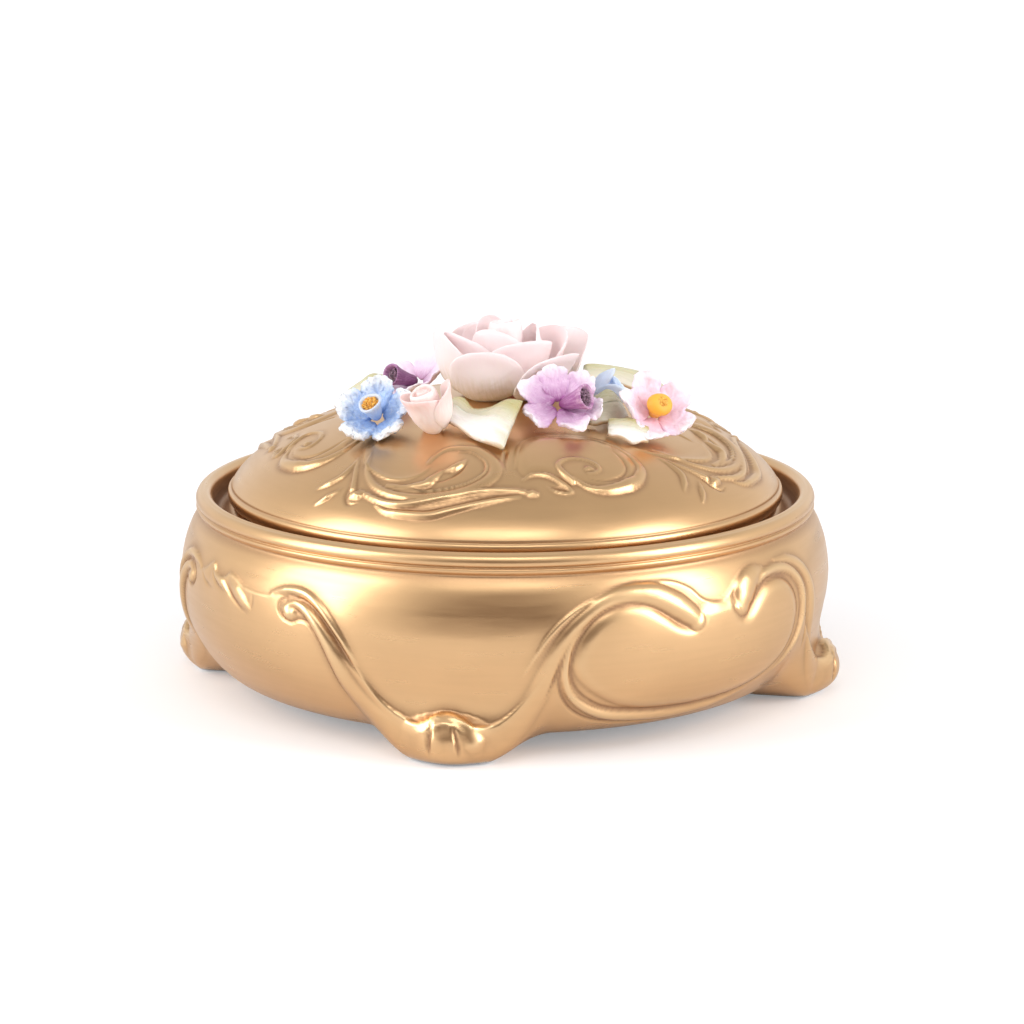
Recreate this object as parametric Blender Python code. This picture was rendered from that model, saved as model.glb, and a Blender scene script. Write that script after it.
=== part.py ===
"""Round porcelain trinket box: a four-footed bowl, a domed lift-off lid and the flowers applied to the lid.

The origin is on the table under the middle of the bowl, +Z is up, and the four feet lie on the X and Y axes.
Azimuths are in degrees from -Y, positive towards +X. Sizes are in millimetres until mm() makes metres of them.
"""

import math

import bmesh
import bpy
from mathutils import Matrix, Vector

# Driving dimensions, in millimetres.
FOOT_AZIMUTHS = (0, 90, 180, 270)
FOOT_FLAT_HALF = 9.0       # degrees each side of a foot's middle that stand on the table
FOOT_BLEND_HALF = 22.5     # degrees each side where the foot has run out into the wall
TOE_HALF = 13.5            # degrees each side of the toe that curls outwards
BOWL_SIDES = 96
LID_SIDES = 64
LEDGE_RADIUS = 60.0        # mouth of the bowl, inside the ledge that the lid rests on
LEDGE_HEIGHT = 42.5
FIT_GAP = 0.3              # kept between pieces that touch on the real box
LID_EDGE_RADIUS = 64.2
DOME_FOOT_HEIGHT = 45.5    # where the dome's curve starts
DOME_RISE = 22.5
DOME_FULLNESS = 0.625
LID_WALL = 3.6
PETAL_THICK = 0.8
LEAF_THICK = 0.9

# Outlines as (radius, height). The rim and upper wall are the same all round.
RIM_AND_SHOULDER = (
    (68.6, 45.4), (70.1, 46.4), (71.5, 45.6), (71.8, 44.3), (71.2, 43.3), (71.9, 42.3), (71.5, 41.2),
    (73.2, 37.6), (74.7, 34.0), (75.6, 30.0),
)
WALL_BETWEEN_FEET = (
    (75.7, 25.5), (74.6, 20.0), (72.6, 15.5), (69.6, 11.0), (66.4, 7.8), (62.0, 5.2), (57.5, 4.3), (54.0, 4.2),
)
WALL_AT_FOOT = (
    (75.3, 25.0), (74.5, 19.5), (73.6, 14.6), (75.2, 12.0), (76.6, 7.0), (76.0, 2.2), (72.0, 0.0), (58.0, 0.0),
)
UNDERSIDE = ((50.0, 4.2), (0.0, 4.2))
TOE_REACH = (0.0, 0.0, 0.0, 0.4, 2.1, 0.6, 0.0, 0.0)
BOWL_INSIDE = (
    (0.0, 8.0), (52.0, 8.0), (60.0, 9.4), (66.0, 13.4), (70.0, 19.5), (71.6, 25.5), (71.4, 30.0), (68.8, 34.4),
    (63.5, 38.6), (LEDGE_RADIUS, 40.4), (LEDGE_RADIUS, LEDGE_HEIGHT), (67.6, LEDGE_HEIGHT), (68.3, 44.0),
)
LID_UNDERSIDE = (
    (64.3, 46.4), (63.6, 44.4), (62.4, LEDGE_HEIGHT + FIT_GAP), (59.2, LEDGE_HEIGHT + FIT_GAP),
    (59.2, 38.6), (56.4, 38.2), (56.4, 43.6),
)

COLOURS = {
    "gilded_porcelain": ((0.74, 0.50, 0.24), 0.32, 1.0),
    "rose_pink": ((0.90, 0.74, 0.73), 0.55, 0.0),
    "bud_pink": ((0.89, 0.73, 0.70), 0.55, 0.0),
    "pale_blue": ((0.62, 0.72, 0.90), 0.6, 0.0),
    "orchid_purple": ((0.76, 0.56, 0.74), 0.6, 0.0),
    "blush_pink": ((0.88, 0.70, 0.80), 0.6, 0.0),
    "lilac": ((0.85, 0.72, 0.84), 0.6, 0.0),
    "dark_plum": ((0.22, 0.07, 0.17), 0.6, 0.0),
    "plum": ((0.42, 0.20, 0.36), 0.6, 0.0),
    "orange": ((0.86, 0.47, 0.10), 0.6, 0.0),
    "leaf_green": ((0.78, 0.76, 0.58), 0.5, 0.0),
}

def mm(*values):
    """Millimetres as a vector in metres."""
    return Vector(values) * 0.001


def clear_scene():
    for obj in list(bpy.data.objects):
        bpy.data.objects.remove(obj)


def material(name):
    found = bpy.data.materials.get(name)
    if found:
        return found
    colour, roughness, metallic = COLOURS[name]
    made = bpy.data.materials.new(name)
    made.use_nodes = True
    shader = made.node_tree.nodes["Principled BSDF"]
    shader.inputs["Base Color"].default_value = (*colour, 1.0)
    shader.inputs["Roughness"].default_value = roughness
    shader.inputs["Metallic"].default_value = metallic
    return made


def add_object(name, mesh, finish, parent=None):
    obj = bpy.data.objects.new(name, mesh)
    if not mesh.materials:
        mesh.materials.append(material(finish))
    obj.parent = parent
    bpy.context.scene.collection.objects.link(obj)
    return obj


def mesh_from(name, vertices, faces, sharp_angle=40):
    """A closed mesh in metres from millimetre vertices, with its faces pointing out."""
    bm = bmesh.new()
    points = [bm.verts.new(mm(*v)) for v in vertices]
    for face in faces:
        bm.faces.new([points[i] for i in face])
    bmesh.ops.recalc_face_normals(bm, faces=bm.faces)
    mesh = bpy.data.meshes.new(name)
    bm.to_mesh(mesh)
    bm.free()
    mesh.shade_smooth()
    mesh.set_sharp_from_angle(angle=math.radians(sharp_angle))
    return mesh


def turned_mesh(name, outline_at, sides):
    """A solid of revolution about Z, from closed outlines whose points on the axis are shared by them all."""
    rings = [outline_at(360 * i / sides) for i in range(sides)]
    count = len(rings[0])
    poles = {k: None for k in range(count) if rings[0][k][0] == 0.0}
    vertices, index = [], {}
    for i, ring in enumerate(rings):
        turn = math.radians(360 * i / sides)
        for k, (radius, height) in enumerate(ring):
            if k in poles:
                if poles[k] is None:
                    poles[k] = len(vertices)
                    vertices.append((0.0, 0.0, height))
                index[i, k] = poles[k]
            else:
                index[i, k] = len(vertices)
                vertices.append((radius * math.sin(turn), -radius * math.cos(turn), height))
    faces = []
    for i in range(sides):
        after = (i + 1) % sides
        for k in range(count):
            below = (k + 1) % count
            corners = list(dict.fromkeys((index[i, k], index[after, k], index[after, below], index[i, below])))
            if len(corners) > 2:
                faces.append(corners)
    return mesh_from(name, vertices, faces)


def ease(value):
    """0 to 1 with no kink at either end."""
    value = min(1.0, max(0.0, value))
    return value * value * (3 - 2 * value)


def off_foot(azimuth):
    """Degrees from the middle of the nearest foot."""
    return min(abs((azimuth - foot + 180) % 360 - 180) for foot in FOOT_AZIMUTHS)


def bowl_outline(azimuth):
    """The bowl's section at an azimuth: rim, outer wall, underside, floor and inner wall."""
    away = off_foot(azimuth)
    share = 1 - ease((away - FOOT_FLAT_HALF) / (FOOT_BLEND_HALF - FOOT_FLAT_HALF))
    toe = ease(1 - away / TOE_HALF)
    wall = [
        (a[0] + (b[0] - a[0]) * share + reach * toe, a[1] + (b[1] - a[1]) * share)
        for a, b, reach in zip(WALL_BETWEEN_FEET, WALL_AT_FOOT, TOE_REACH)
    ]
    return [*RIM_AND_SHOULDER, *wall, *UNDERSIDE, *BOWL_INSIDE]


def dome_height(radius):
    """Height of the lid's outer face at a radius from the middle."""
    inside = max(0.0, 1 - (radius / LID_EDGE_RADIUS) ** 2)
    return DOME_FOOT_HEIGHT + DOME_RISE * inside**DOME_FULLNESS


def lid_outline(_azimuth):
    """The lid's section, from the top of the dome over the edge to the hollow underneath."""
    steps = (0.0, 14.0, 26.0, 37.0, 46.0, 53.0, 58.5, 62.0, 63.6)
    outer = [(radius, dome_height(radius)) for radius in steps]
    inner = [(radius, dome_height(radius) - LID_WALL) for radius in (50.0, 42.0, 30.0, 16.0, 0.0)]
    return [*outer, *LID_UNDERSIDE, *inner]


def build_bowl():
    """The feet, rim and ledge are cast in one piece with the bowl."""
    add_object("bowl", turned_mesh("bowl", bowl_outline, BOWL_SIDES), "gilded_porcelain")


def build_lid():
    """The flange that keeps the lid in the bowl's mouth is cast in one piece with the dome."""
    add_object("lid", turned_mesh("lid", lid_outline, LID_SIDES), "gilded_porcelain")


def bezier(ends, t):
    """A point on the quadratic curve through three (radius, height) pairs, and its unit normal, facing out."""
    (ax, ay), (bx, by), (cx, cy) = ends
    s = 1 - t
    point = (s * s * ax + 2 * s * t * bx + t * t * cx, s * s * ay + 2 * s * t * by + t * t * cy)
    along = (2 * s * (bx - ax) + 2 * t * (cx - bx), 2 * s * (by - ay) + 2 * t * (cy - by))
    size = math.hypot(*along) or 1.0
    return point, (along[1] / size, -along[0] / size)


def petal_mesh(name, ends, half_angle, thick=PETAL_THICK, across=6, along=4):
    """One petal about the flower's axis: a curved plate, narrow at its base and round at its tip.

    ends are the curve's three (radius, height) pairs, from base to tip, on the petal's outer face.
    """
    vertices, sheets = [], []
    for depth in (0.0, thick):
        rows = []
        for j in range(along + 1):
            v = j / along
            (radius, height), normal = bezier(ends, v)
            width = half_angle * (0.7 + 0.3 * ease(v / 0.5)) * math.sqrt(1 - max(0, v - 0.5) ** 2 / 0.33)
            row = []
            for i in range(across + 1):
                u = 2 * i / across - 1
                turn = math.radians(width * u)
                r = radius - depth * normal[0]
                z = height - depth * normal[1] - 0.10 * abs(ends[2][1] - ends[0][1]) * v * u * u
                row.append(len(vertices))
                vertices.append((r * math.sin(turn), -r * math.cos(turn), z))
            rows.append(row)
        sheets.append(rows)
    return mesh_from(name, vertices, plate_faces(sheets))


def plate_faces(sheets):
    """Faces of a plate whose two sheets are grids of vertex numbers, with its edges closed."""
    front, back = sheets
    rows, columns = len(front), len(front[0])
    faces = []
    for grid in sheets:
        for j in range(rows - 1):
            for i in range(columns - 1):
                faces.append([grid[j][i], grid[j][i + 1], grid[j + 1][i + 1], grid[j + 1][i]])
    rim = [(0, i) for i in range(columns)] + [(j, columns - 1) for j in range(1, rows)]
    rim += [(rows - 1, i) for i in range(columns - 2, -1, -1)] + [(j, 0) for j in range(rows - 2, 0, -1)]
    for (j, i), (n, m) in zip(rim, rim[1:] + rim[:1]):
        faces.append([front[j][i], front[n][m], back[n][m], back[j][i]])
    return faces


def flower_frame(name, spot, above, lean, towards):
    """An empty whose Z is a flower's axis: above the dome at spot, leaning by lean degrees to an azimuth."""
    empty = bpy.data.objects.new(name, None)
    heading = math.radians(towards)
    axis = Vector((math.cos(heading), math.sin(heading), 0.0))
    place = mm(*spot, dome_height(math.hypot(*spot)) + above)
    empty.matrix_world = Matrix.Translation(place) @ Matrix.Rotation(math.radians(lean), 4, axis)
    bpy.context.scene.collection.objects.link(empty)
    return empty


def stalk_length(frame, radius):
    """How far a stalk of this radius runs back along the frame's axis before it is FIT_GAP short of the dome."""
    length = 0.0
    while length < 20.0:
        for turn in range(0, 360, 45):
            ring = Vector((radius * math.cos(math.radians(turn)), radius * math.sin(math.radians(turn)), -length))
            point = frame.matrix_world @ (ring * 0.001) * 1000
            if point.z < dome_height(math.hypot(point.x, point.y)) + FIT_GAP:
                return length
        length += 0.1
    return length


def add_ring(prefix, count, ends, frame, finish, spread=0.95, start=0.0, first=1):
    """Evenly spaced petals about the frame's axis, which share one mesh."""
    mesh = petal_mesh(prefix, ends, spread * 180 / count)
    for i in range(count):
        petal = add_object(f"{prefix}_{first + i}", mesh, finish, frame)
        petal.rotation_euler.z = math.radians(start + 360 * i / count)


def turned_piece(name, outline, frame, finish, sides=14):
    add_object(name, turned_mesh(name, lambda _azimuth: outline, sides), finish, frame)


def build_rose():
    frame = flower_frame("rose", (0.0, 0.0), 0.0, 7, 10)
    heart = ((0.0, 0.6), (2.6, 0.9), (4.2, 5.0), (5.2, 11.0), (4.4, 15.6), (2.2, 17.2), (0.0, 16.4))
    turned_piece("rose_heart", heart, frame, "rose_pink")
    add_ring("rose_inner_petal", 3, ((5.4, 2.6), (8.6, 7.0), (6.6, 17.0)), frame, "rose_pink", start=30)
    add_ring("rose_middle_petal", 4, ((7.6, 2.4), (13.0, 6.4), (11.2, 16.2)), frame, "rose_pink", start=12)
    add_ring("rose_outer_petal", 5, ((9.4, 2.2), (17.6, 5.0), (17.0, 15.0)), frame, "rose_pink", start=0)


def build_rosebud():
    frame = flower_frame("rosebud", (-12.6, -29.6), 0.7, 22, 4)
    heart = ((0.0, 0.1), (1.6, 0.2), (2.8, 4.0), (2.7, 9.0), (1.4, 10.2), (0.0, 9.6))
    turned_piece("rosebud_heart", heart, frame, "bud_pink", sides=12)
    add_ring("rosebud_wrap", 2, ((3.0, 1.6), (5.3, 5.0), (4.4, 10.4)), frame, "bud_pink", start=60)


def build_blossom(name, frame, petals, reach, rise, finishes, start=0.0):
    """An open flower: a ring of petals round a rolled tube that stands on the lid and may hold pollen."""
    petal_finish, tube_finish, pollen_finish = finishes
    ends = ((3.0, 0.4), (0.62 * reach, 0.10 * rise), (reach, rise))
    add_ring(f"{name}_petal", petals, ends, frame, petal_finish, spread=0.94, start=start)
    foot = -stalk_length(frame, 1.3)
    tube = (
        (0.0, foot), (1.3, foot), (1.5, 1.0), (2.3, 5.4), (2.5, 7.0), (2.0, 6.9), (1.6, 4.0), (0.0, 3.8),
    )
    turned_piece(f"{name}_tube", tube, frame, tube_finish, sides=12)
    if pollen_finish:
        pollen = ((0.0, 4.1), (1.2, 4.2), (1.3, 5.0), (0.7, 5.8), (0.0, 6.0))
        turned_piece(f"{name}_pollen", pollen, frame, pollen_finish, sides=10)


def build_blossoms():
    blue = flower_frame("blue_blossom", (-26.6, -30.4), 5.2, 44, -14)
    build_blossom("blue_blossom", blue, 5, 8.6, 4.6, ("pale_blue", "pale_blue", "orange"), start=36)
    purple = flower_frame("purple_blossom", (16.8, -25.2), 6.0, 42, 42)
    build_blossom("purple_blossom", purple, 6, 9.6, 4.6, ("orchid_purple", "plum", "dark_plum"), start=30)
    pink = flower_frame("pink_blossom", (36.4, -15.4), 6.0, 46, 34)
    build_blossom("pink_blossom", pink, 5, 8.8, 4.6, ("blush_pink", "orange", "orange"))
    lilac = flower_frame("lilac_blossom", (-25.4, -3.2), 4.4, 36, -62)
    build_blossom("lilac_blossom", lilac, 5, 8.0, 4.6, ("lilac", "plum", "dark_plum"), start=10)
    sky = flower_frame("sky_blossom", (25.6, -0.4), 4.0, 34, 70)
    build_blossom("sky_blossom", sky, 5, 7.2, 5.0, ("pale_blue", "pale_blue", None), start=20)


def leaf_mesh(name, azimuth, start, length, width, lift, arch, across=4, along=7):
    """A leaf lying along the dome, from radius start outwards, its middle arched up off the lid."""
    heading = math.radians(azimuth)
    out = Vector((math.sin(heading), -math.cos(heading)))
    side = Vector((math.cos(heading), math.sin(heading)))
    vertices, sheets = [], []
    for depth in (LEAF_THICK, 0.0):
        rows = []
        for j in range(along + 1):
            v = j / along
            half = 0.5 * width * math.sqrt(max(0.03, 1 - (2 * v**0.85 - 1) ** 2))
            row = []
            for i in range(across + 1):
                u = 2 * i / across - 1
                spot = out * (start + length * v) + side * (half * u)
                over = lift + arch * math.sin(math.pi * v) * (1 - 0.6 * u * u) + depth
                row.append(len(vertices))
                vertices.append((spot.x, spot.y, dome_height(spot.length) + over))
            rows.append(row)
        sheets.append(rows)
    return mesh_from(name, vertices, plate_faces(sheets))


def build_leaves():
    """Azimuth, start radius, length, width, lift and arch of each leaf, in degrees and millimetres."""
    leaves = {
        "front_leaf": (3, 19.5, 19.0, 17.0, 0.4, 1.6),
        "purple_side_leaf": (48, 25.0, 13.0, 6.0, 0.4, 0.8),
        "pink_side_leaf": (80, 30.0, 14.0, 8.0, 0.4, 0.8),
        "back_left_leaf": (-105, 24.0, 15.0, 9.0, 0.4, 0.8),
        "back_right_leaf": (128, 22.0, 15.0, 9.0, 0.4, 0.8),
        "back_leaf": (190, 20.0, 16.0, 12.0, 0.4, 1.2),
    }
    for name, sizes in leaves.items():
        add_object(name, leaf_mesh(name, *sizes), "leaf_green")


def main():
    clear_scene()
    build_bowl()
    build_lid()
    build_rose()
    build_rosebud()
    build_blossoms()
    build_leaves()


main()
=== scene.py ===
"""A round gilded porcelain trinket box with scroll relief and an applied bouquet of flowers.

Lengths in this file are millimetres until Workshop.add makes metres of them. Azimuths are degrees
from -Y, positive towards +X. Heights are above the table.
"""

import logging
import math
from collections.abc import Sequence
from dataclasses import dataclass
from enum import Enum

import bpy
import numpy as np
from mathutils import Matrix, Vector, noise


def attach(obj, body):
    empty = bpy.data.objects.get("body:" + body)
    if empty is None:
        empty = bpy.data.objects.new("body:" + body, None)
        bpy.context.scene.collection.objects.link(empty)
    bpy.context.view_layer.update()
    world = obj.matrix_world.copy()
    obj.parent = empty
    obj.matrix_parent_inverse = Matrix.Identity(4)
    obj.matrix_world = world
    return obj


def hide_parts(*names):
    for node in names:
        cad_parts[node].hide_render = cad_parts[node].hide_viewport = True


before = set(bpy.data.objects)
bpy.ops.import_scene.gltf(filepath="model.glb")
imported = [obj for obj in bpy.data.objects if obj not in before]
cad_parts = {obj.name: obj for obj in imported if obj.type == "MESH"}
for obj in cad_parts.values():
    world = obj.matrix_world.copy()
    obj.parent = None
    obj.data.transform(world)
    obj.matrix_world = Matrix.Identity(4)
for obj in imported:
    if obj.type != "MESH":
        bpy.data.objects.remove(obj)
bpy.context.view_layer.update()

LOG = logging.getLogger("trinket_box")
Array = np.ndarray
Pair = tuple[float, float]
Triple = tuple[float, float, float]
Socket = bpy.types.NodeSocket

BOWL_BODY = "bowl_body"
LID_BODY = "lid_body"
CLAY_SEED = 7
METRES = 0.001
SHARP_SIDE = 0.45
TINY_SHARE = 1e-4
TINY_LENGTH = 1e-6
GOLDEN_TURN = 2.39996
HEART_SIDES = 40
TUBE_SIDES = 44


class Section(Enum):
    """How a stroke of the modelling tool stands up from the surface, or cuts into it."""

    CORD = "a rounded cord"
    GROOVE = "a cut line"
    EDGE = "raised on the right of the stroke, falling away with distance"
    FIELD = "the whole area inside the stroke is raised, with a rounded shoulder"


@dataclass(frozen=True)
class Stroke:
    """One stroke of relief: where it runs, how wide it is and how high.

    path holds (azimuth, height or radius) pairs. widths are half-widths and heights are rises, both
    in millimetres and spread evenly along the stroke.
    """

    section: Section
    path: tuple[Pair, ...]
    widths: tuple[float, ...]
    heights: tuple[float, ...]


def stroke_of(
    section: Section, widths: Sequence[float], heights: Sequence[float], path: Sequence[float]
) -> Stroke:
    """A stroke from a path written as one run of numbers: azimuth, height, azimuth, height."""
    return Stroke(section, tuple(zip(path[::2], path[1::2])), tuple(widths), tuple(heights))


def cord(widths: Sequence[float], heights: Sequence[float], *path: float) -> Stroke:
    """A rounded cord along the path."""
    return stroke_of(Section.CORD, widths, heights, path)


def groove(widths: Sequence[float], heights: Sequence[float], *path: float) -> Stroke:
    """A cut line along the path."""
    return stroke_of(Section.GROOVE, widths, heights, path)


def ledge(widths: Sequence[float], heights: Sequence[float], *path: float) -> Stroke:
    """A lip raised along the right of the path."""
    return stroke_of(Section.EDGE, widths, heights, path)


def mound(widths: Sequence[float], heights: Sequence[float], *path: float) -> Stroke:
    """A raised area inside the path."""
    return stroke_of(Section.FIELD, widths, heights, path)


def ease(value: Array | float) -> Array:
    """0 to 1 with no kink at either end."""
    value = np.clip(value, 0.0, 1.0)
    return value * value * (3 - 2 * value)


def smooth_path(points: Array, steps: int, closed: bool = False) -> Array:
    """A curve through the points.

    Args:
        points: The points to pass through, one row each.
        steps: Pieces between one point and the next.
        closed: Whether the last point joins the first.

    Returns:
        The curve's points, one row each.
    """
    if closed:
        padded = np.vstack([points[-1], points, points[0], points[1]])
    else:
        padded = np.vstack([2 * points[0] - points[1], points, 2 * points[-1] - points[-2]])
    t = np.linspace(0.0, 1.0, steps, endpoint=False)[:, None]
    runs = []
    for a, b, c, d in zip(padded, padded[1:], padded[2:], padded[3:]):
        square, cube = 2 * a - 5 * b + 4 * c - d, 3 * b - a - 3 * c + d
        runs.append(0.5 * (2 * b + (c - a) * t + square * t**2 + cube * t**3))
    if not closed:
        runs.append(points[-1:])
    return np.vstack(runs)


def resampled(curve: Array, count: int) -> Array:
    """A curve's points taken again at count even steps of their numbering."""
    at = np.linspace(0, len(curve) - 1, count)
    return np.stack([np.interp(at, np.arange(len(curve)), column) for column in curve.T], -1)


def even_outline(outline: Sequence[Pair], spacing: float) -> Array:
    """An outline's smooth curve with points at even spacing.

    Args:
        outline: The (radius, height) pairs that the curve passes through.
        spacing: The distance from one point to the next, in millimetres.

    Returns:
        The points, one (radius, height) row each.
    """
    curve = smooth_path(np.array(outline, float), 24)
    along = np.concatenate([[0.0], np.cumsum(np.hypot(*np.diff(curve, axis=0).T))])
    count = max(2, round(along[-1] / spacing))
    at = np.linspace(0.0, along[-1], count + 1)
    return np.stack([np.interp(at, along, curve[:, 0]), np.interp(at, along, curve[:, 1])], -1)


def to_segments(points: Array, path: Array) -> tuple[Array, Array, Array]:
    """The distance from points to a path of straight segments.

    Args:
        points: The points, one row each.
        path: The path's points, one row each.

    Returns:
        For each point its distance, its side (positive to the right of the path, with the second
        axis down the page) and how far along the path its nearest place is, from 0 to 1.
    """
    best = np.full(len(points), 1e9)
    side = np.zeros(len(points))
    share = np.zeros(len(points))
    starts, runs = path[:-1], np.diff(path, axis=0)
    lengths = np.hypot(*runs.T)
    total = np.concatenate([[0.0], np.cumsum(lengths)])
    for start, run, length, gone in zip(starts, runs, lengths, total):
        if length < TINY_LENGTH:
            continue
        offset = points - start
        t = np.clip(offset @ run / length**2, 0.0, 1.0)
        gap = offset - t[:, None] * run
        distance = np.hypot(gap[:, 0], gap[:, 1])
        nearer = distance < best
        best[nearer] = distance[nearer]
        cross = run[0] * offset[:, 1] - run[1] * offset[:, 0]
        side[nearer] = np.sign(cross[nearer])
        share[nearer] = (gone + t[nearer] * length) / total[-1]
    return best, side, share


class Relief:
    """A height map made of strokes, on a sheet whose axes are millimetres over the surface."""

    def __init__(self, across: Array, down: Array) -> None:
        """Starts flat.

        Args:
            across: Each point's place along the first axis.
            down: Each point's place along the second axis.
        """
        self.shape = across.shape
        self.points = np.stack([across.ravel(), down.ravel()], -1)
        self.raised = np.zeros(len(self.points))
        self.cords = np.zeros(len(self.points))
        self.cuts = np.zeros(len(self.points))

    def work(self, stroke: Stroke, path: Array, depth: float = 1.0) -> None:
        """Adds one stroke.

        Args:
            stroke: The stroke.
            path: Its path, already on this sheet's axes.
            depth: Scales how far it stands up or cuts in.
        """
        closed = stroke.section is Section.FIELD
        line = smooth_path(path, 6 if closed else 10, closed)
        if closed:
            line = np.vstack([line, line[:1]])
        reach = max(stroke.widths) * (5 if stroke.section is Section.EDGE else 1.5)
        low, high = line.min(0) - reach, line.max(0) + reach
        near = np.flatnonzero(((self.points > low) & (self.points < high)).all(1))
        if not len(near):
            return
        distance, side, share = to_segments(self.points[near], line)
        spots = np.linspace(0.0, 1.0, len(stroke.widths))
        width = np.interp(share, spots, stroke.widths)
        spots = np.linspace(0.0, 1.0, len(stroke.heights))
        height = depth * np.interp(share, spots, stroke.heights)
        if stroke.section is Section.CORD:
            dome = np.clip(1 - (distance / width) ** 2, 0.0, 1.0) ** 0.85
            self.cords[near] = np.maximum(self.cords[near], height * dome)
        elif stroke.section is Section.GROOVE:
            cut = np.clip(1 - distance / width, 0.0, 1.0) ** 1.4
            self.cuts[near] = np.maximum(self.cuts[near], height * cut)
        elif stroke.section is Section.EDGE:
            signed = distance * side
            taper = np.sin(np.pi * np.clip(share, 0.0, 1.0)) ** 0.4
            falling = np.exp(-np.maximum(signed, 0) / width)
            rise = np.where(signed >= 0, falling, np.clip(1 + signed / SHARP_SIDE, 0, 1))
            ends = (share > TINY_SHARE) & (share < 1 - TINY_SHARE)
            self.raised[near] += height * rise * taper * ends
        else:
            inside = self.inside(self.points[near], line)
            rise = 1 - (1 - np.clip(distance / width, 0.0, 1.0)) ** 2
            self.raised[near] += np.where(inside, height * rise, 0.0)

    @staticmethod
    def inside(points: Array, loop: Array) -> Array:
        """Finds the points inside a loop, by counting how often a level line crosses it.

        Args:
            points: The points, one row each.
            loop: The loop's points, the last the same as the first.

        Returns:
            For each point, whether it is inside.
        """
        count = np.zeros(len(points), int)
        for (ax, ay), (bx, by) in zip(loop[:-1], loop[1:]):
            if ay == by:
                continue
            spans = (points[:, 1] >= min(ay, by)) & (points[:, 1] < max(ay, by))
            cross = ax + (points[:, 1] - ay) * (bx - ax) / (by - ay)
            count += spans & (points[:, 0] < cross)
        return count % 2 == 1

    def height(self) -> Array:
        """The finished relief in millimetres, on the sheet's own grid."""
        return (self.raised + self.cords - self.cuts).reshape(self.shape)


def blurred(grid: Array, reach: int) -> Array:
    """Averages a grid over its neighbours, twice.

    Args:
        grid: The grid. Its first axis goes round, and its second stops at its ends.
        reach: How many neighbours on each side are taken in.

    Returns:
        The softened grid.
    """
    result = grid
    for _ in range(2):
        result = sum(np.roll(result, k, 0) for k in range(-reach, reach + 1)) / (2 * reach + 1)
        padded = np.pad(result, ((0, 0), (reach, reach)), mode="edge")
        result = sum(padded[:, k : k + grid.shape[1]] for k in range(2 * reach + 1))
        result = result / (2 * reach + 1)
    return result


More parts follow.
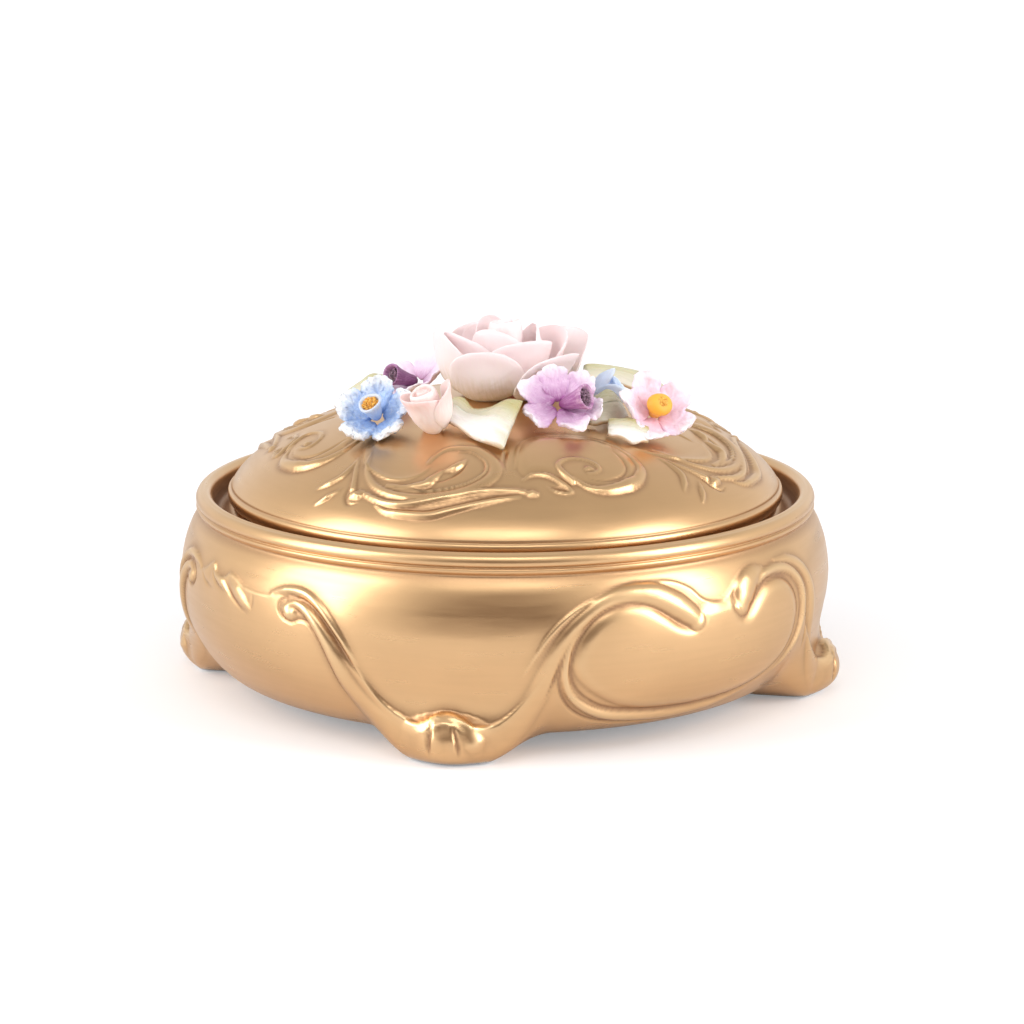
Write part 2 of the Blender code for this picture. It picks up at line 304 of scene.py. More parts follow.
class Shader:
    """A node material under construction, with the Principled shader at its end."""

    def __init__(self, name: str) -> None:
        """Makes an empty material of this name."""
        self.material = bpy.data.materials.new(name)
        self.material.use_nodes = True
        self.tree = self.material.node_tree
        self.surface = self.tree.nodes["Principled BSDF"]

    def set(self, **values: object) -> None:
        """Sets the surface's own sockets, named with _ for a space."""
        for name, value in values.items():
            self.surface.inputs[name.replace("_", " ")].default_value = value

    def add(self, kind: str, **settings: object) -> bpy.types.Node:
        """Adds one node.

        Args:
            kind: What the node is, without the words ShaderNode.
            **settings: Its settings by name.

        Returns:
            The node.
        """
        node = self.tree.nodes.new(f"ShaderNode{kind}")
        for name, value in settings.items():
            setattr(node, name, value)
        return node

    def feed(self, node: bpy.types.Node, socket: str | int, value: object) -> None:
        """Fills a socket.

        Args:
            node: The node it belongs to.
            socket: Its name or number.
            value: A number, a colour or another node's output.
        """
        target = node.inputs[socket]
        if isinstance(value, Socket):
            self.tree.links.new(value, target)
        elif isinstance(value, tuple) and len(value) == 3 and target.type == "RGBA":
            target.default_value = (*value, 1.0)
        else:
            target.default_value = value

    def place(self, stretch: Triple = (1, 1, 1), petal: bool = False) -> Socket:
        """Finds the point being shaded.

        Args:
            stretch: How much to stretch it along each axis.
            petal: Whether to give its place on the petal instead of on the box.

        Returns:
            The point's socket.
        """
        where = self.add("TexCoord").outputs["UV" if petal else "Object"]
        mapping = self.add("Mapping")
        self.feed(mapping, "Vector", where)
        self.feed(mapping, "Scale", stretch)
        return mapping.outputs["Vector"]

    def fed(self, kind: str, **sockets: object) -> bpy.types.Node:
        """Adds one node and fills its sockets.

        Args:
            kind: What the node is, without the words ShaderNode.
            **sockets: What goes into each socket, named with _ for a space.

        Returns:
            The node.
        """
        node = self.add(kind)
        for name, value in sockets.items():
            self.feed(node, name.replace("_", " "), value)
        return node

    def noise(self, where: Socket, scale: float, detail: float = 3.0, rough: float = 0.5) -> Socket:
        """A cloudy pattern from 0 to 1."""
        node = self.fed("TexNoise", Vector=where, Scale=scale, Detail=detail, Roughness=rough)
        return node.outputs["Fac"]

    def spots(self, where: Socket, scale: float) -> Socket:
        """The distance to the nearest of many scattered points."""
        return self.fed("TexVoronoi", Vector=where, Scale=scale).outputs["Distance"]

    def span(
        self, value: Socket, low: float, high: float, start: float = 0.0, end: float = 1.0
    ) -> Socket:
        """Spreads a value from one range to another and holds it there.

        Args:
            value: The value.
            low: Where its range starts.
            high: Where its range ends.
            start: What low becomes.
            end: What high becomes.

        Returns:
            The new value's socket.
        """
        node = self.fed(
            "MapRange", Value=value, From_Min=low, From_Max=high, To_Min=start, To_Max=end
        )
        return node.outputs["Result"]

    def math(self, operation: str, a: object, b: object) -> Socket:
        """Puts two values together.

        Args:
            operation: How.
            a: The first value.
            b: The second.

        Returns:
            The result's socket.
        """
        node = self.add("Math", operation=operation)
        self.feed(node, 0, a)
        self.feed(node, 1, b)
        return node.outputs[0]

    def mix(self, share: object, a: object, b: object) -> Socket:
        """Mixes two colours.

        Args:
            share: How much of the second there is, from 0 to 1.
            a: The first colour.
            b: The second.

        Returns:
            The mixed colour's socket.
        """
        node = self.add("Mix", data_type="RGBA")
        self.feed(node, 0, share)
        self.feed(node, 6, a)
        self.feed(node, 7, b)
        return node.outputs[2]

    def mark(self, name: str) -> Socket:
        """A value that the piece's mesh carries at each of its points."""
        return self.add("Attribute", attribute_name=name).outputs["Fac"]

    def petal_axis(self, axis: str) -> Socket:
        """Finds the point's place on its petal.

        Args:
            axis: X for across it, Y for along it.

        Returns:
            The place's socket.
        """
        split = self.add("SeparateXYZ")
        self.feed(split, 0, self.place(petal=True))
        return split.outputs[axis]

    def colour(self, value: object) -> None:
        """Gives the surface its colour."""
        self.feed(self.surface, "Base Color", value)

    def roughness(self, value: object) -> None:
        """Gives the surface its roughness."""
        self.feed(self.surface, "Roughness", value)

    def bump(self, layers: Sequence[tuple[Socket, float, float]]) -> None:
        """Adds fine surface texture.

        Args:
            layers: For each layer its pattern, its strength and its depth in metres.
        """
        normal = None
        for pattern, strength, depth in layers:
            node = self.fed("Bump", Height=pattern, Strength=strength, Distance=depth)
            if normal is not None:
                self.feed(node, "Normal", normal)
            normal = node.outputs["Normal"]
        self.feed(self.surface, "Normal", normal)


@dataclass(frozen=True)
class GoldLustre:
    """Satin gold lustre over white glaze: paler on ridges, painted shade in hollows, pitted in
    places.

    satin is the gold's roughness. faded and streaked scale the gold's colour for its two patterns.
    """

    gold: Triple = (0.77, 0.485, 0.245)
    # The paler colour laid on raised relief and on the rim's top.
    raised_pale: Triple = (0.86, 0.60, 0.33)
    # The colour of the painted shade laid into hollows, grooves and creases.
    hollow: Triple = (0.34, 0.185, 0.10)
    speck: Triple = (0.20, 0.10, 0.05)
    glaze: Triple = (0.83, 0.83, 0.82)
    satin: float = 0.30
    faded: float = 0.93
    streaked: float = 0.80

    def make(self) -> bpy.types.Material:
        """Builds the material.

        Returns:
            The material. Its mesh marks the gilding, the painted shade and the paler ridges.
        """
        s = Shader("gold_lustre")
        s.set(Metallic=1.0, Coat_Weight=0.22, Coat_Roughness=0.28)
        cloud = s.noise(s.place(), 55.0, 4.0)
        streaks = s.noise(s.place((1, 1, 12)), 60.0, 2.0, 0.5)
        grain = s.noise(s.place(), 1900.0, 2.0)
        tone = s.mix(s.span(cloud, 0.3, 0.7), self.gold, tuple(c * self.faded for c in self.gold))
        brushed = tuple(c * self.streaked for c in self.gold)
        tone = s.mix(s.span(streaks, 0.42, 0.72, 0.0, 0.14), tone, brushed)
        # Paler on raised relief and on the rim's top, where the mesh marks it.
        tone = s.mix(s.math("MULTIPLY", s.mark("raised_pale"), 0.7), tone, self.raised_pale)
        # Painted shade: darkens the gold where the mesh marks hollows and grooves, broken up by the
        # grain.
        shade_amount = s.math("MULTIPLY", s.mark("hollow"), s.span(grain, 0.2, 0.8, 0.75, 1.0))
        tone = s.mix(shade_amount, tone, self.hollow)
        thin = s.span(s.noise(s.place(), 38.0, 2.0), 0.60, 0.68)
        holes = s.span(s.spots(s.place(), 240.0), 0.022, 0.036, 1.0, 0.0)
        pits = s.math("MULTIPLY", holes, thin)
        tone = s.mix(s.math("MULTIPLY", pits, 0.8), tone, self.speck)
        gilt = s.mark("gilt")
        s.colour(s.mix(gilt, self.glaze, tone))
        s.feed(s.surface, "Metallic", gilt)
        satin = s.span(streaks, 0.3, 0.75, self.satin - 0.03, self.satin + 0.05)
        satin = s.math("ADD", satin, s.math("MULTIPLY", s.mark("hollow"), 0.18))
        satin = s.math("MULTIPLY", satin, s.span(gilt, 0.0, 1.0, 0.45, 1.0))
        s.roughness(satin)
        s.bump(((grain, 0.12, 0.00008),))
        return s.material


@dataclass(frozen=True)
class PaintedPetal:
    """Hand-painted porcelain: one colour at the root, brushed out over another, with a pale lip.

    brushed is how much of the brush colour shows, and grainy how crumbly the clay is. gloss is its
    roughness. root_reach is how far the root colour runs, as a share of the petal.
    """

    name: str
    slot: str
    root: Triple
    body: Triple
    brush: Triple
    lip: Triple
    brushed: float = 0.6
    grainy: float = 0.5
    gloss: float = 0.42
    root_reach: float = 0.45

    def make(self) -> bpy.types.Material:
        """Builds the material.

        Returns:
            The material, painted by the place on the petal.
        """
        s = Shader(self.name)
        along = s.petal_axis("Y")
        streaks = s.noise(s.place((9, 1.6, 1), petal=True), 1.6, 5.0, 0.65)
        mottle = s.noise(s.place(), 700.0, 4.0, 0.7)
        reach = s.math("ADD", along, s.math("MULTIPLY", s.math("SUBTRACT", streaks, 0.5), 0.5))
        tone = s.mix(s.span(reach, 0.05, self.root_reach), self.root, self.body)
        stripe = s.math("MULTIPLY", s.span(streaks, 0.45, 0.62), s.span(reach, 0.15, 0.4))
        tone = s.mix(s.math("MULTIPLY", stripe, self.brushed), tone, self.brush)
        ragged = s.math("ADD", reach, s.math("MULTIPLY", mottle, 0.3 * self.grainy))
        tone = s.mix(s.span(ragged, 0.66, 1.0), tone, self.lip)
        tone = s.mix(s.span(mottle, 0.52, 0.72, 0.0, self.grainy * 0.7), tone, self.lip)
        tone = s.mix(s.span(mottle, 0.28, 0.46, self.grainy * 0.35, 0.0), tone, self.root)
        s.colour(tone)
        s.roughness(s.span(mottle, 0.3, 0.7, self.gloss - 0.06, self.gloss + 0.14))
        s.set(Subsurface_Weight=0.12, Subsurface_Scale=0.0012, Subsurface_Radius=(1.0, 0.7, 0.6))
        s.bump(((mottle, 0.6 * self.grainy, 0.0003), (streaks, 0.15, 0.0002)))
        return s.material


@dataclass(frozen=True)
class GrainyGlaze:
    """A dab of crumbly coloured clay, such as pollen: many small grains in two colours."""

    name: str
    slot: str
    light: Triple
    dark: Triple

    def make(self) -> bpy.types.Material:
        """Builds the material.

        Returns:
            The material.
        """
        s = Shader(self.name)
        grains = s.noise(s.place(), 1400.0, 3.0, 0.7)
        s.colour(s.mix(s.span(grains, 0.38, 0.62), self.dark, self.light))
        s.roughness(s.span(grains, 0.3, 0.7, 0.38, 0.6))
        s.bump(((grains, 0.5, 0.0003),))
        return s.material


@dataclass(frozen=True)
class LeafGlaze:
    """White glazed leaf with a colour brushed in from its edges and a thin brown line on its lip.

    cover is how much of the leaf the brushed colour takes.
    """

    name: str
    slot: str
    white: Triple = (0.84, 0.82, 0.78)
    brushed: Triple = (0.44, 0.38, 0.11)
    line: Triple = (0.50, 0.30, 0.12)
    cover: float = 0.5

    def make(self) -> bpy.types.Material:
        """Builds the material.

        Returns:
            The material, painted by the place on the leaf.
        """
        s = Shader(self.name)
        across, along = s.petal_axis("X"), s.petal_axis("Y")
        cloud = s.noise(s.place((2.0, 1.0, 1), petal=True), 2.2, 4.0, 0.6)
        wobble = s.math("MULTIPLY", s.math("SUBTRACT", cloud, 0.5), 0.5)
        far_edge = s.span(s.math("ADD", across, wobble), 1.0 - 3.0 * self.cover, 0.55, 0.0, 1.0)
        from_middle = s.math("ABSOLUTE", s.math("SUBTRACT", along, 0.5), 0.0)
        ends = s.span(s.math("ADD", from_middle, wobble), 0.36, 0.5, 0.0, 0.5)
        shade = s.math("MAXIMUM", far_edge, ends)
        tone = s.mix(s.math("MULTIPLY", shade, 0.85), self.white, self.brushed)
        veins = s.span(s.noise(s.place((0.8, 9, 1), petal=True), 1.3, 3.0), 0.5, 0.7, 0.0, 0.12)
        tone = s.mix(s.math("MULTIPLY", veins, shade), tone, self.line)
        edge = s.math("MULTIPLY", s.span(across, -0.86, -0.95), s.span(cloud, 0.36, 0.48))
        s.colour(s.mix(s.math("MULTIPLY", edge, 0.7), tone, self.line))
        s.roughness(s.span(cloud, 0.3, 0.7, 0.22, 0.36))
        s.set(Subsurface_Weight=0.1, Subsurface_Scale=0.0012)
        s.bump(((s.noise(s.place(), 500.0, 3.0), 0.2, 0.0002),))
        return s.material


Finish = GoldLustre | PaintedPetal | GrainyGlaze | LeafGlaze


class Workshop:
    """Turns point grids into pieces that ride on the box, each with its finish."""

    def __init__(self) -> None:
        """Starts with no materials made."""
        self.made: dict[str, bpy.types.Material] = {}

    def finish(self, finish: Finish) -> bpy.types.Material:
        """Makes a finish's material, once.

        Args:
            finish: The finish.

        Returns:
            Its material.
        """
        key = repr(finish)
        if key not in self.made:
            self.made[key] = finish.make()
        return self.made[key]

    def add(
        self,
        name: str,
        points: Array,
        faces: Array,
        material: bpy.types.Material,
        slot: str,
        body: str,
        nodes: Sequence[str],
        marks: dict[str, Array] | None = None,
        places: Array | None = None,
    ) -> bpy.types.Object:
        """Adds one piece.

        Args:
            name: The piece's name.
            points: Its points in millimetres, one row each.
            faces: Rows of four point numbers each. A triangle repeats its last number.
            material: Its material.
            slot: The record's material slot for its finish. Not used.
            body: The body that it rides on.
            nodes: The CAD nodes that it stands for.
            marks: Values at each point that its material reads, by name.
            places: Each point's place on its petal or leaf, for brushwork.

        Returns:
            The new object.
        """
        mesh = bpy.data.meshes.new(name)
        triangle = faces[:, 2] == faces[:, 3]
        sizes = np.where(triangle, 3, 4)
        keep = np.ones(faces.shape, bool)
        keep[triangle, 3] = False
        corners = faces[keep]
        mesh.vertices.add(len(points))
        mesh.vertices.foreach_set("co", (points * METRES).astype(np.float32).ravel())
        mesh.loops.add(len(corners))
        mesh.loops.foreach_set("vertex_index", corners.astype(np.int32))
        mesh.polygons.add(len(faces))
        starts = np.concatenate([[0], np.cumsum(sizes)[:-1]])
        mesh.polygons.foreach_set("loop_start", starts.astype(np.int32))
        mesh.update(calc_edges=True)
        mesh.shade_smooth()
        for label, values in (marks or {}).items():
            layer = mesh.attributes.new(label, "FLOAT", "POINT")
            layer.data.foreach_set("value", values.astype(np.float32).ravel())
        if places is not None:
            layer = mesh.uv_layers.new(name="petal")
            layer.data.foreach_set("uv", places[corners].astype(np.float32).ravel())
        mesh.materials.append(material)
        piece = bpy.data.objects.new(name, mesh)
        bpy.context.scene.collection.objects.link(piece)
        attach(piece, body)
        if nodes:
            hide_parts(*nodes)
        LOG.info("%s: %d points, %d faces", name, len(points), len(faces))
        return piece


def ring_faces(sides: int, rows: int) -> Array:
    """Joins the rows of a turned grid, whose point numbers run along each outline and then round.

    Args:
        sides: Outlines round the grid.
        rows: Points along each outline.

    Returns:
        The faces, one row each.
    """
    i, k = np.meshgrid(np.arange(sides), np.arange(rows - 1), indexing="ij")
    j = (i + 1) % sides
    here, there = i * rows + k, j * rows + k
    return np.stack([here, here + 1, there + 1, there], -1).reshape(-1, 4)


def close_with_poles(points: Array, faces: Array, sides: int, rows: int) -> tuple[Array, Array]:
    """Closes a turned grid with a point on the axis inside its first row and its last.

    Args:
        points: The grid's points.
        faces: Its faces.
        sides: Outlines round the grid.
        rows: Points along each outline.

    Returns:
        The points and the faces, with the new ones last.
    """
    grid = points.reshape(sides, rows, 3)
    first, last = grid[:, 0].mean(0), grid[:, -1].mean(0)
    i = np.arange(sides)
    j = (i + 1) % sides
    low, high = len(points), len(points) + 1
    fans = [
        np.stack([i * rows, j * rows, np.full(sides, low), np.full(sides, low)], -1),
        np.stack([j * rows + rows - 1, i * rows + rows - 1, *[np.full(sides, high)] * 2], -1),
    ]
    return np.vstack([points, first, last]), np.vstack([faces, *fans])


def turned_points(radius: Array, height: Array, azimuth: Array) -> Array:
    """Turns radius and height grids into points.

    Args:
        radius: The radii, with a row for each azimuth.
        height: The heights, in the same shape or as one outline.
        azimuth: The azimuths, in degrees.

    Returns:
        The grid of points.
    """
    turn = np.radians(azimuth)[:, None]
    level = np.broadcast_to(height, radius.shape)
    return np.stack([radius * np.sin(turn), -radius * np.cos(turn), level], -1)


def turned_outline(outline: Array, azimuth: Array) -> Array:
    """The grid of points that one outline of (radius, height) rows makes as it turns."""
    shape = (len(azimuth), len(outline))
    return turned_points(*(np.broadcast_to(column, shape) for column in outline.T), azimuth)


def grid_normals(points: Array) -> Array:
    """Finds the normals of a turned grid from each point's neighbours.

    Args:
        points: The grid of points.

    Returns:
        A grid of unit vectors.
    """
    around = np.roll(points, -1, 0) - np.roll(points, 1, 0)
    along = np.gradient(points, axis=1)
    normal = np.cross(along, around)
    return normal / np.maximum(np.linalg.norm(normal, axis=-1, keepdims=True), 1e-9)


@dataclass
class Bowl:
    """The bowl with its rim, ledge, feet and relief, cast in one piece.

    foot_flat and foot_blend are degrees from a foot's middle: the wall has the foot's outline up to
    the first and the panel's from the second on. The toe's ball reaches toe_out beyond it.
    """

    sides: int = 1200
    wall_rows: int = 124
    foot_flat: float = 5.0
    foot_blend: float = 19.0
    toe_half: float = 10.5
    toe_out: float = 4.0
    toe_height: float = 5.6
    toe_half_height: float = 6.2
    sole_height: float = 3.6
    floor_height: float = 8.4
    shell_depth: float = 0.5
    mm_per_degree: float = 1.309
    rim: tuple[Pair, ...] = (
        (67.9, 43.0), (68.15, 44.8), (68.6, 45.8), (69.3, 46.35), (70.0, 46.4), (70.35, 46.15),
        (70.75, 46.2), (71.4, 45.75), (71.85, 45.0), (71.95, 44.3), (71.75, 43.75), (71.3, 43.45),
        (71.45, 43.25), (71.95, 42.9), (71.6, 42.1), (71.2, 41.6), (71.3, 41.2),
    )
    panel: tuple[Pair, ...] = (
        (71.3, 41.2), (72.2, 40.0), (73.3, 38.0), (74.6, 34.6), (75.4, 30.8), (75.6, 26.5),
        (75.2, 21.5), (74.0, 16.8), (71.6, 12.0), (68.6, 7.9), (64.8, 5.0), (60.0, 3.5),
        (54.5, 3.1),
    )
    foot: tuple[Pair, ...] = (
        (71.3, 41.2), (72.2, 40.0), (73.3, 38.0), (74.5, 34.6), (75.2, 31.0), (75.5, 27.5),
        (75.2, 23.4), (74.5, 19.6), (73.8, 15.5), (73.8, 11.5), (74.6, 7.0), (74.4, 3.0),
        (73.2, 0.7), (71.0, 0.0), (64.0, 0.0), (59.5, 0.2), (56.5, 1.8), (54.5, 3.1),
    )
    underside: tuple[Pair, ...] = ((54.5, 3.1), (40.0, 3.4), (22.0, 3.6), (4.0, 3.6))
    inside: tuple[Pair, ...] = (
        (4.0, 8.4), (28.0, 8.4), (48.0, 8.4), (56.0, 8.9), (62.5, 10.8), (67.4, 14.8), (70.2, 20.0),
        (71.2, 25.5), (70.9, 30.0), (69.2, 33.6), (65.8, 37.0), (62.2, 39.6), (60.3, 40.8),
        (60.0, 41.7), (60.5, 42.4), (62.0, 42.6), (64.0, 42.4), (64.9, 41.3), (66.2, 40.5),
        (67.3, 41.2), (67.8, 42.6),
    )
    foot_relief: tuple[Stroke, ...] = (
        ledge(
            (2.2, 2.6, 3, 3, 2.4, 2, 2.4, 3, 2.6, 2.2),
            (0.3, 0.6, 0.8, 0.9, 1, 1, 0.9, 0.7, 0.4, 0.15),
            -18, 25.6, -16.6, 22.3, -14.7, 18.4, -12.6, 14.8, -10.1, 12, -7.3, 10, -5.3, 9.2,
            -3.4, 9.9, -1.6, 11.2, 0.4, 11.5, 2.4, 10.6, 3.9, 9.5, 5.4, 9, 7.4, 9.2, 9.6, 10.8,
            12.1, 13.8, 14.6, 17.4, 16.4, 21,
        ),
        cord(
            (0.4, 0.5, 0.6, 0.5, 0.4), (0.1, 0.35, 0.4, 0.35, 0.1),
            -4.6, 7.6, -2.8, 8.6, -0.6, 9.8, 1.2, 9.4, 3, 8,
        ),
        groove((0.4, 0.7, 0.8, 0.4), (0.3, 0.9, 0.8, 0.1), -2, 9.4, -2.5, 7.4, -2.7, 5.2, -2.6, 3),
        groove((0.4, 0.7, 0.8, 0.4), (0.3, 0.9, 0.8, 0.1), 1.3, 9.4, 1.8, 7.4, 2.1, 5.2, 2.2, 3),
        cord((1.2, 2.2, 1.4), (0.2, 0.7, 0.1), 4, 7.8, 4.6, 5.8, 5, 3.8),
    )
    heart_relief: tuple[Stroke, ...] = (
        mound(
            (2.6,), (0.9,),
            20.6, 22, 21.2, 26, 22.8, 30, 25.2, 33, 28.2, 34.7, 31.2, 35, 34.2, 34.2, 37, 32,
            39.4, 29.8, 41.6, 28.9, 43.2, 30.2, 43.6, 32.4, 46, 32.9, 48.8, 33, 51, 33.6,
            51.9, 31.6, 52.6, 29.4, 54.3, 29.2, 56.6, 31.6, 59.6, 34.1, 62.6, 34.8, 65.6, 33.6,
            67.8, 30.8, 68.8, 27.2, 68.5, 23, 67.2, 18.8, 65, 15.2, 61.5, 12.4, 57, 10.9, 51, 10.1,
            45, 9.8, 39, 10, 34, 10.6, 29.5, 12, 25.6, 14.6, 22.4, 18,
        ),
        groove(
            (0.45, 0.5, 0.55, 0.5, 0.45, 0.55, 0.45), (0.15, 0.35, 0.4, 0.35, 0.3, 0.4, 0.15),
            42.2, 27.9, 39.6, 29.4, 37, 32, 34.2, 34.2, 31.2, 35.2, 28, 34.9, 25, 33.1, 22.5, 30,
            20.9, 26, 20.3, 22, 20.9, 18.2, 23, 14.9, 26.6, 12, 31, 10.7, 37, 9.8, 44, 9.5, 51, 9.8,
            57, 10.6, 61.8, 12.1, 65.4, 15, 67.6, 18.8, 68.9, 23, 69.2, 27.2, 68.1, 31, 65.7, 34,
            62.6, 35.1, 59.4, 34.4, 56.7, 32, 54.6, 29.3, 52.7, 28,
        ),
        cord(
            (3.2, 3, 2.6, 2.2, 1.8, 1.6, 1.6, 1.9, 2.3, 2.7, 2.8, 2.3),
            (0.1, 0.35, 0.5, 0.6, 0.65, 0.65, 0.75, 0.95, 1.15, 1.35, 1.4, 1.1),
            9.5, 6.5, 12.4, 10.5, 14.7, 15.5, 16.4, 21, 18.6, 27, 21.6, 31.8, 25.8, 35.5,
            30.8, 36.9, 35.4, 36.1, 39.2, 33.7, 41.7, 31.2, 42.6, 30.1,
        ),
        cord(
            (0.3, 0.7, 0.9, 1, 1.1, 1.2, 1.2, 1.2, 1.1, 1, 0.7, 0.3),
            (0.1, 0.5, 0.8, 0.9, 0.95, 0.95, 0.9, 0.9, 0.8, 0.7, 0.4, 0.1),
            22.6, 31, 20.4, 27.5, 19.6, 23.5, 19.5, 19.5, 20.6, 15.5, 23.2, 12.2, 27.2, 9.8,
            32.5, 8.6, 39, 7.9, 46, 7.9, 53, 8.6, 59, 9.8,
        ),
        groove(
            (0.3, 0.6, 0.6, 0.6, 0.6, 0.5, 0.3), (0.1, 0.6, 0.6, 0.5, 0.5, 0.3, 0.05),
            18.9, 22.6, 18.4, 19, 19.2, 15, 21.4, 11.2, 25.4, 8.4, 31, 7, 38, 6.4, 45, 6.5,
        ),
        groove((0.3, 0.6, 0.3), (0.1, 0.55, 0.1), 18.7, 24.5, 17.6, 19.5, 16.2, 15),
        cord(
            (0.3, 0.5, 0.6, 0.6, 0.5, 0.3), (0.1, 0.4, 0.6, 0.6, 0.4, 0.1),
            12.6, 20.5, 14.6, 25, 17, 29.6, 20.2, 33.4, 24.2, 36.2, 28.2, 37.4,
        ),
        ledge(
            (1.5,), (0.2, 0.4, 0.5, 0.5, 0.4, 0.2),
            33, 38.9, 37.1, 38.8, 39.8, 38.1, 42.3, 36.5, 43.8, 34.6, 45.2, 33.5, 47.3, 32.9,
            49.2, 33.4, 50.9, 34.7, 52.8, 36.6, 55.4, 38.2, 58.6, 38.9,
        ),
        cord(
            (1, 2, 2.8, 3, 2.3), (0.3, 0.9, 1.3, 1.35, 1),
            59.6, 37.4, 57, 36.6, 54.8, 34.8, 53.4, 32.6, 52.9, 30.8,
        ),
        groove(
            (0.4, 0.6, 0.5), (0.1, 0.35, 0.25),
            51.6, 34.6, 50.6, 32.6, 50.9, 30.6, 52.4, 28.8, 53.6, 28.6,
        ),
        cord(
            (0.6, 1, 1.1, 1.2, 1.2, 1.2, 1.1, 1, 0.8, 0.4),
            (0.3, 0.9, 1, 1, 1, 0.9, 0.8, 0.8, 0.5, 0.1),
            56.4, 34.2, 60, 36.3, 64.2, 36.6, 67.8, 35.2, 70.4, 31.8, 71.4, 27.4, 71.2, 22.6,
            69.8, 18, 67.2, 14.2, 64, 11.6,
        ),
        cord(
            (0.6, 1.1, 1.4, 1.7, 2, 2.2, 2.4, 2.8, 3),
            (0.2, 0.6, 0.8, 0.9, 0.9, 0.8, 0.7, 0.4, 0.1),
            64, 38.2, 68.4, 37.4, 71.9, 35.2, 74.3, 31.4, 75.8, 26, 76.8, 20, 78.3, 14, 80.6, 8.6,
            82.4, 5.5,
        ),
        groove(
            (0.4, 0.9, 0.9, 0.4), (0.2, 0.9, 0.8, 0.1),
            72.4, 30, 73.5, 25.5, 74.1, 20.5, 74.3, 15.5,
        ),
    )
    shell_relief: tuple[Stroke, ...] = (
        ledge(
            (2.2,), (0.8, 1, 1.1, 1, 0.8),
            -60.5, 34.9, -58.6, 33.9, -56.2, 33.3, -54.2, 34, -51.6, 35.9, -50.2, 34.4, -48.2, 33.7,
            -46.6, 34, -45.2, 35.1, -43.4, 34.7, -41, 33.6, -38, 33.1, -35, 33.1, -32.4, 33.7,
            -30.2, 35.1,
        ),
        groove((0.3, 0.9, 0.5), (0.3, 0.7, 0.1), -51.4, 35.2, -49.8, 32.8, -46.5, 31.2),
        groove((0.3, 0.8, 0.5), (0.2, 0.5, 0.1), -55, 33, -53.4, 31.4, -50.4, 30.6),
        cord((0.5, 1.1, 0.4), (0.3, 0.8, 0.2), -50, 33.6, -47, 32.6, -45, 31.2),
        groove(
            (0.5, 1, 0.8, 0.3), (0.3, 0.9, 0.6, 0.1),
            -46.2, 33.4, -44.4, 31.2, -41.4, 29, -39.2, 27.9,
        ),
        cord(
            (0.7, 1.5, 1.5, 0.5), (0.3, 1, 0.9, 0.2),
            -44.4, 33.6, -42.2, 32, -40, 30.2, -38.6, 29,
        ),
        groove((0.3, 0.5, 0.3), (0.2, 0.5, 0.2), -37.8, 32.4, -37.9, 30.4, -38.4, 28.6),
    )
    curl_relief: tuple[Stroke, ...] = (
        cord(
            (0.4, 0.8, 1, 1, 1, 0.9, 0.7, 0.3), (0.3, 0.8, 1, 1, 0.95, 0.8, 0.5, 0.1),
            -33.4, 33.9, -31, 35, -28.2, 35.4, -25.2, 34.8, -22.2, 32.4, -19.4, 28.6, -17.2, 24.6,
            -15.4, 21,
        ),
        groove(
            (0.4, 0.6, 0.8, 0.9, 0.9, 0.7, 0.3), (0.4, 0.6, 0.8, 1, 1, 0.7, 0.2),
            -27.4, 33.8, -25.2, 33.2, -22.7, 31, -20.2, 27.4, -18.1, 23.8, -16.3, 20.6, -14.8, 18,
        ),
        cord(
            (0.7, 1.2, 1.5, 1.8, 2, 2.2, 2.6, 3, 3.2, 3.2),
            (0.5, 1, 1.2, 1.2, 1.1, 1, 0.8, 0.6, 0.35, 0.1),
            -29.2, 32.2, -27.6, 32.7, -25.4, 31.7, -23.2, 29.2, -21.2, 25.6, -19.4, 21, -17.4, 15.8,
            -14.8, 11.2, -11.4, 7.8, -8.4, 5.6,
        ),
        groove(
            (0.4, 0.5, 0.5, 0.5, 0.5, 0.5, 0.5, 0.5, 0.4, 0.3),
            (0.5, 0.6, 0.6, 0.6, 0.6, 0.5, 0.5, 0.45, 0.35, 0.1),
            -29.6, 33.6, -31, 32.6, -31.3, 30.8, -30.2, 29.1, -28.4, 28.6, -27, 29.4, -25.2, 29.2,
            -23.4, 27, -22, 24, -20.6, 20, -19.4, 15.5,
        ),
        cord((1.2, 1.6, 1.2), (0.7, 0.9, 0.6), -29.6, 31.2, -28.9, 30.4, -28.2, 30.6),
    )

    def away_from_foot(self, azimuth: Array) -> Array:
        """Degrees from the middle of the nearest foot."""
        return np.abs((azimuth + 45.0) % 90.0 - 45.0)

    def wall(self, azimuth: Array) -> tuple[Array, Array]:
        """The outer wall from the groove under the rim to the underside.

        Args:
            azimuth: The azimuths, in degrees.

        Returns:
            Radius and height grids, with a row for each azimuth.
        """
        sections = []
        for outline in (self.panel, self.foot):
            even = even_outline(outline, 0.1)
            sections.append(resampled(even, self.wall_rows))
        panel, foot = sections
        away = self.away_from_foot(azimuth)[:, None]
        share = 1 - ease((away - self.foot_flat) / (self.foot_blend - self.foot_flat))
        base = panel + (foot - panel) * share[..., None]
        radius, height = base[..., 0], base[..., 1]
        off = away * self.mm_per_degree / self.toe_half
        sideways = np.cos(0.5 * math.pi * np.clip(off, 0, 1)) ** 1.5
        arch = np.sqrt(np.clip(1 - (off / 1.15) ** 2, 0.05, 1))
        above = (height - self.toe_height) / (self.toe_half_height * arch)
        upright = np.clip(1 - above**2, 0, 1) ** 0.6
        ball = self.toe_out * sideways * upright * ease((radius - 68.0) / 4.0)
        return radius + ball, height

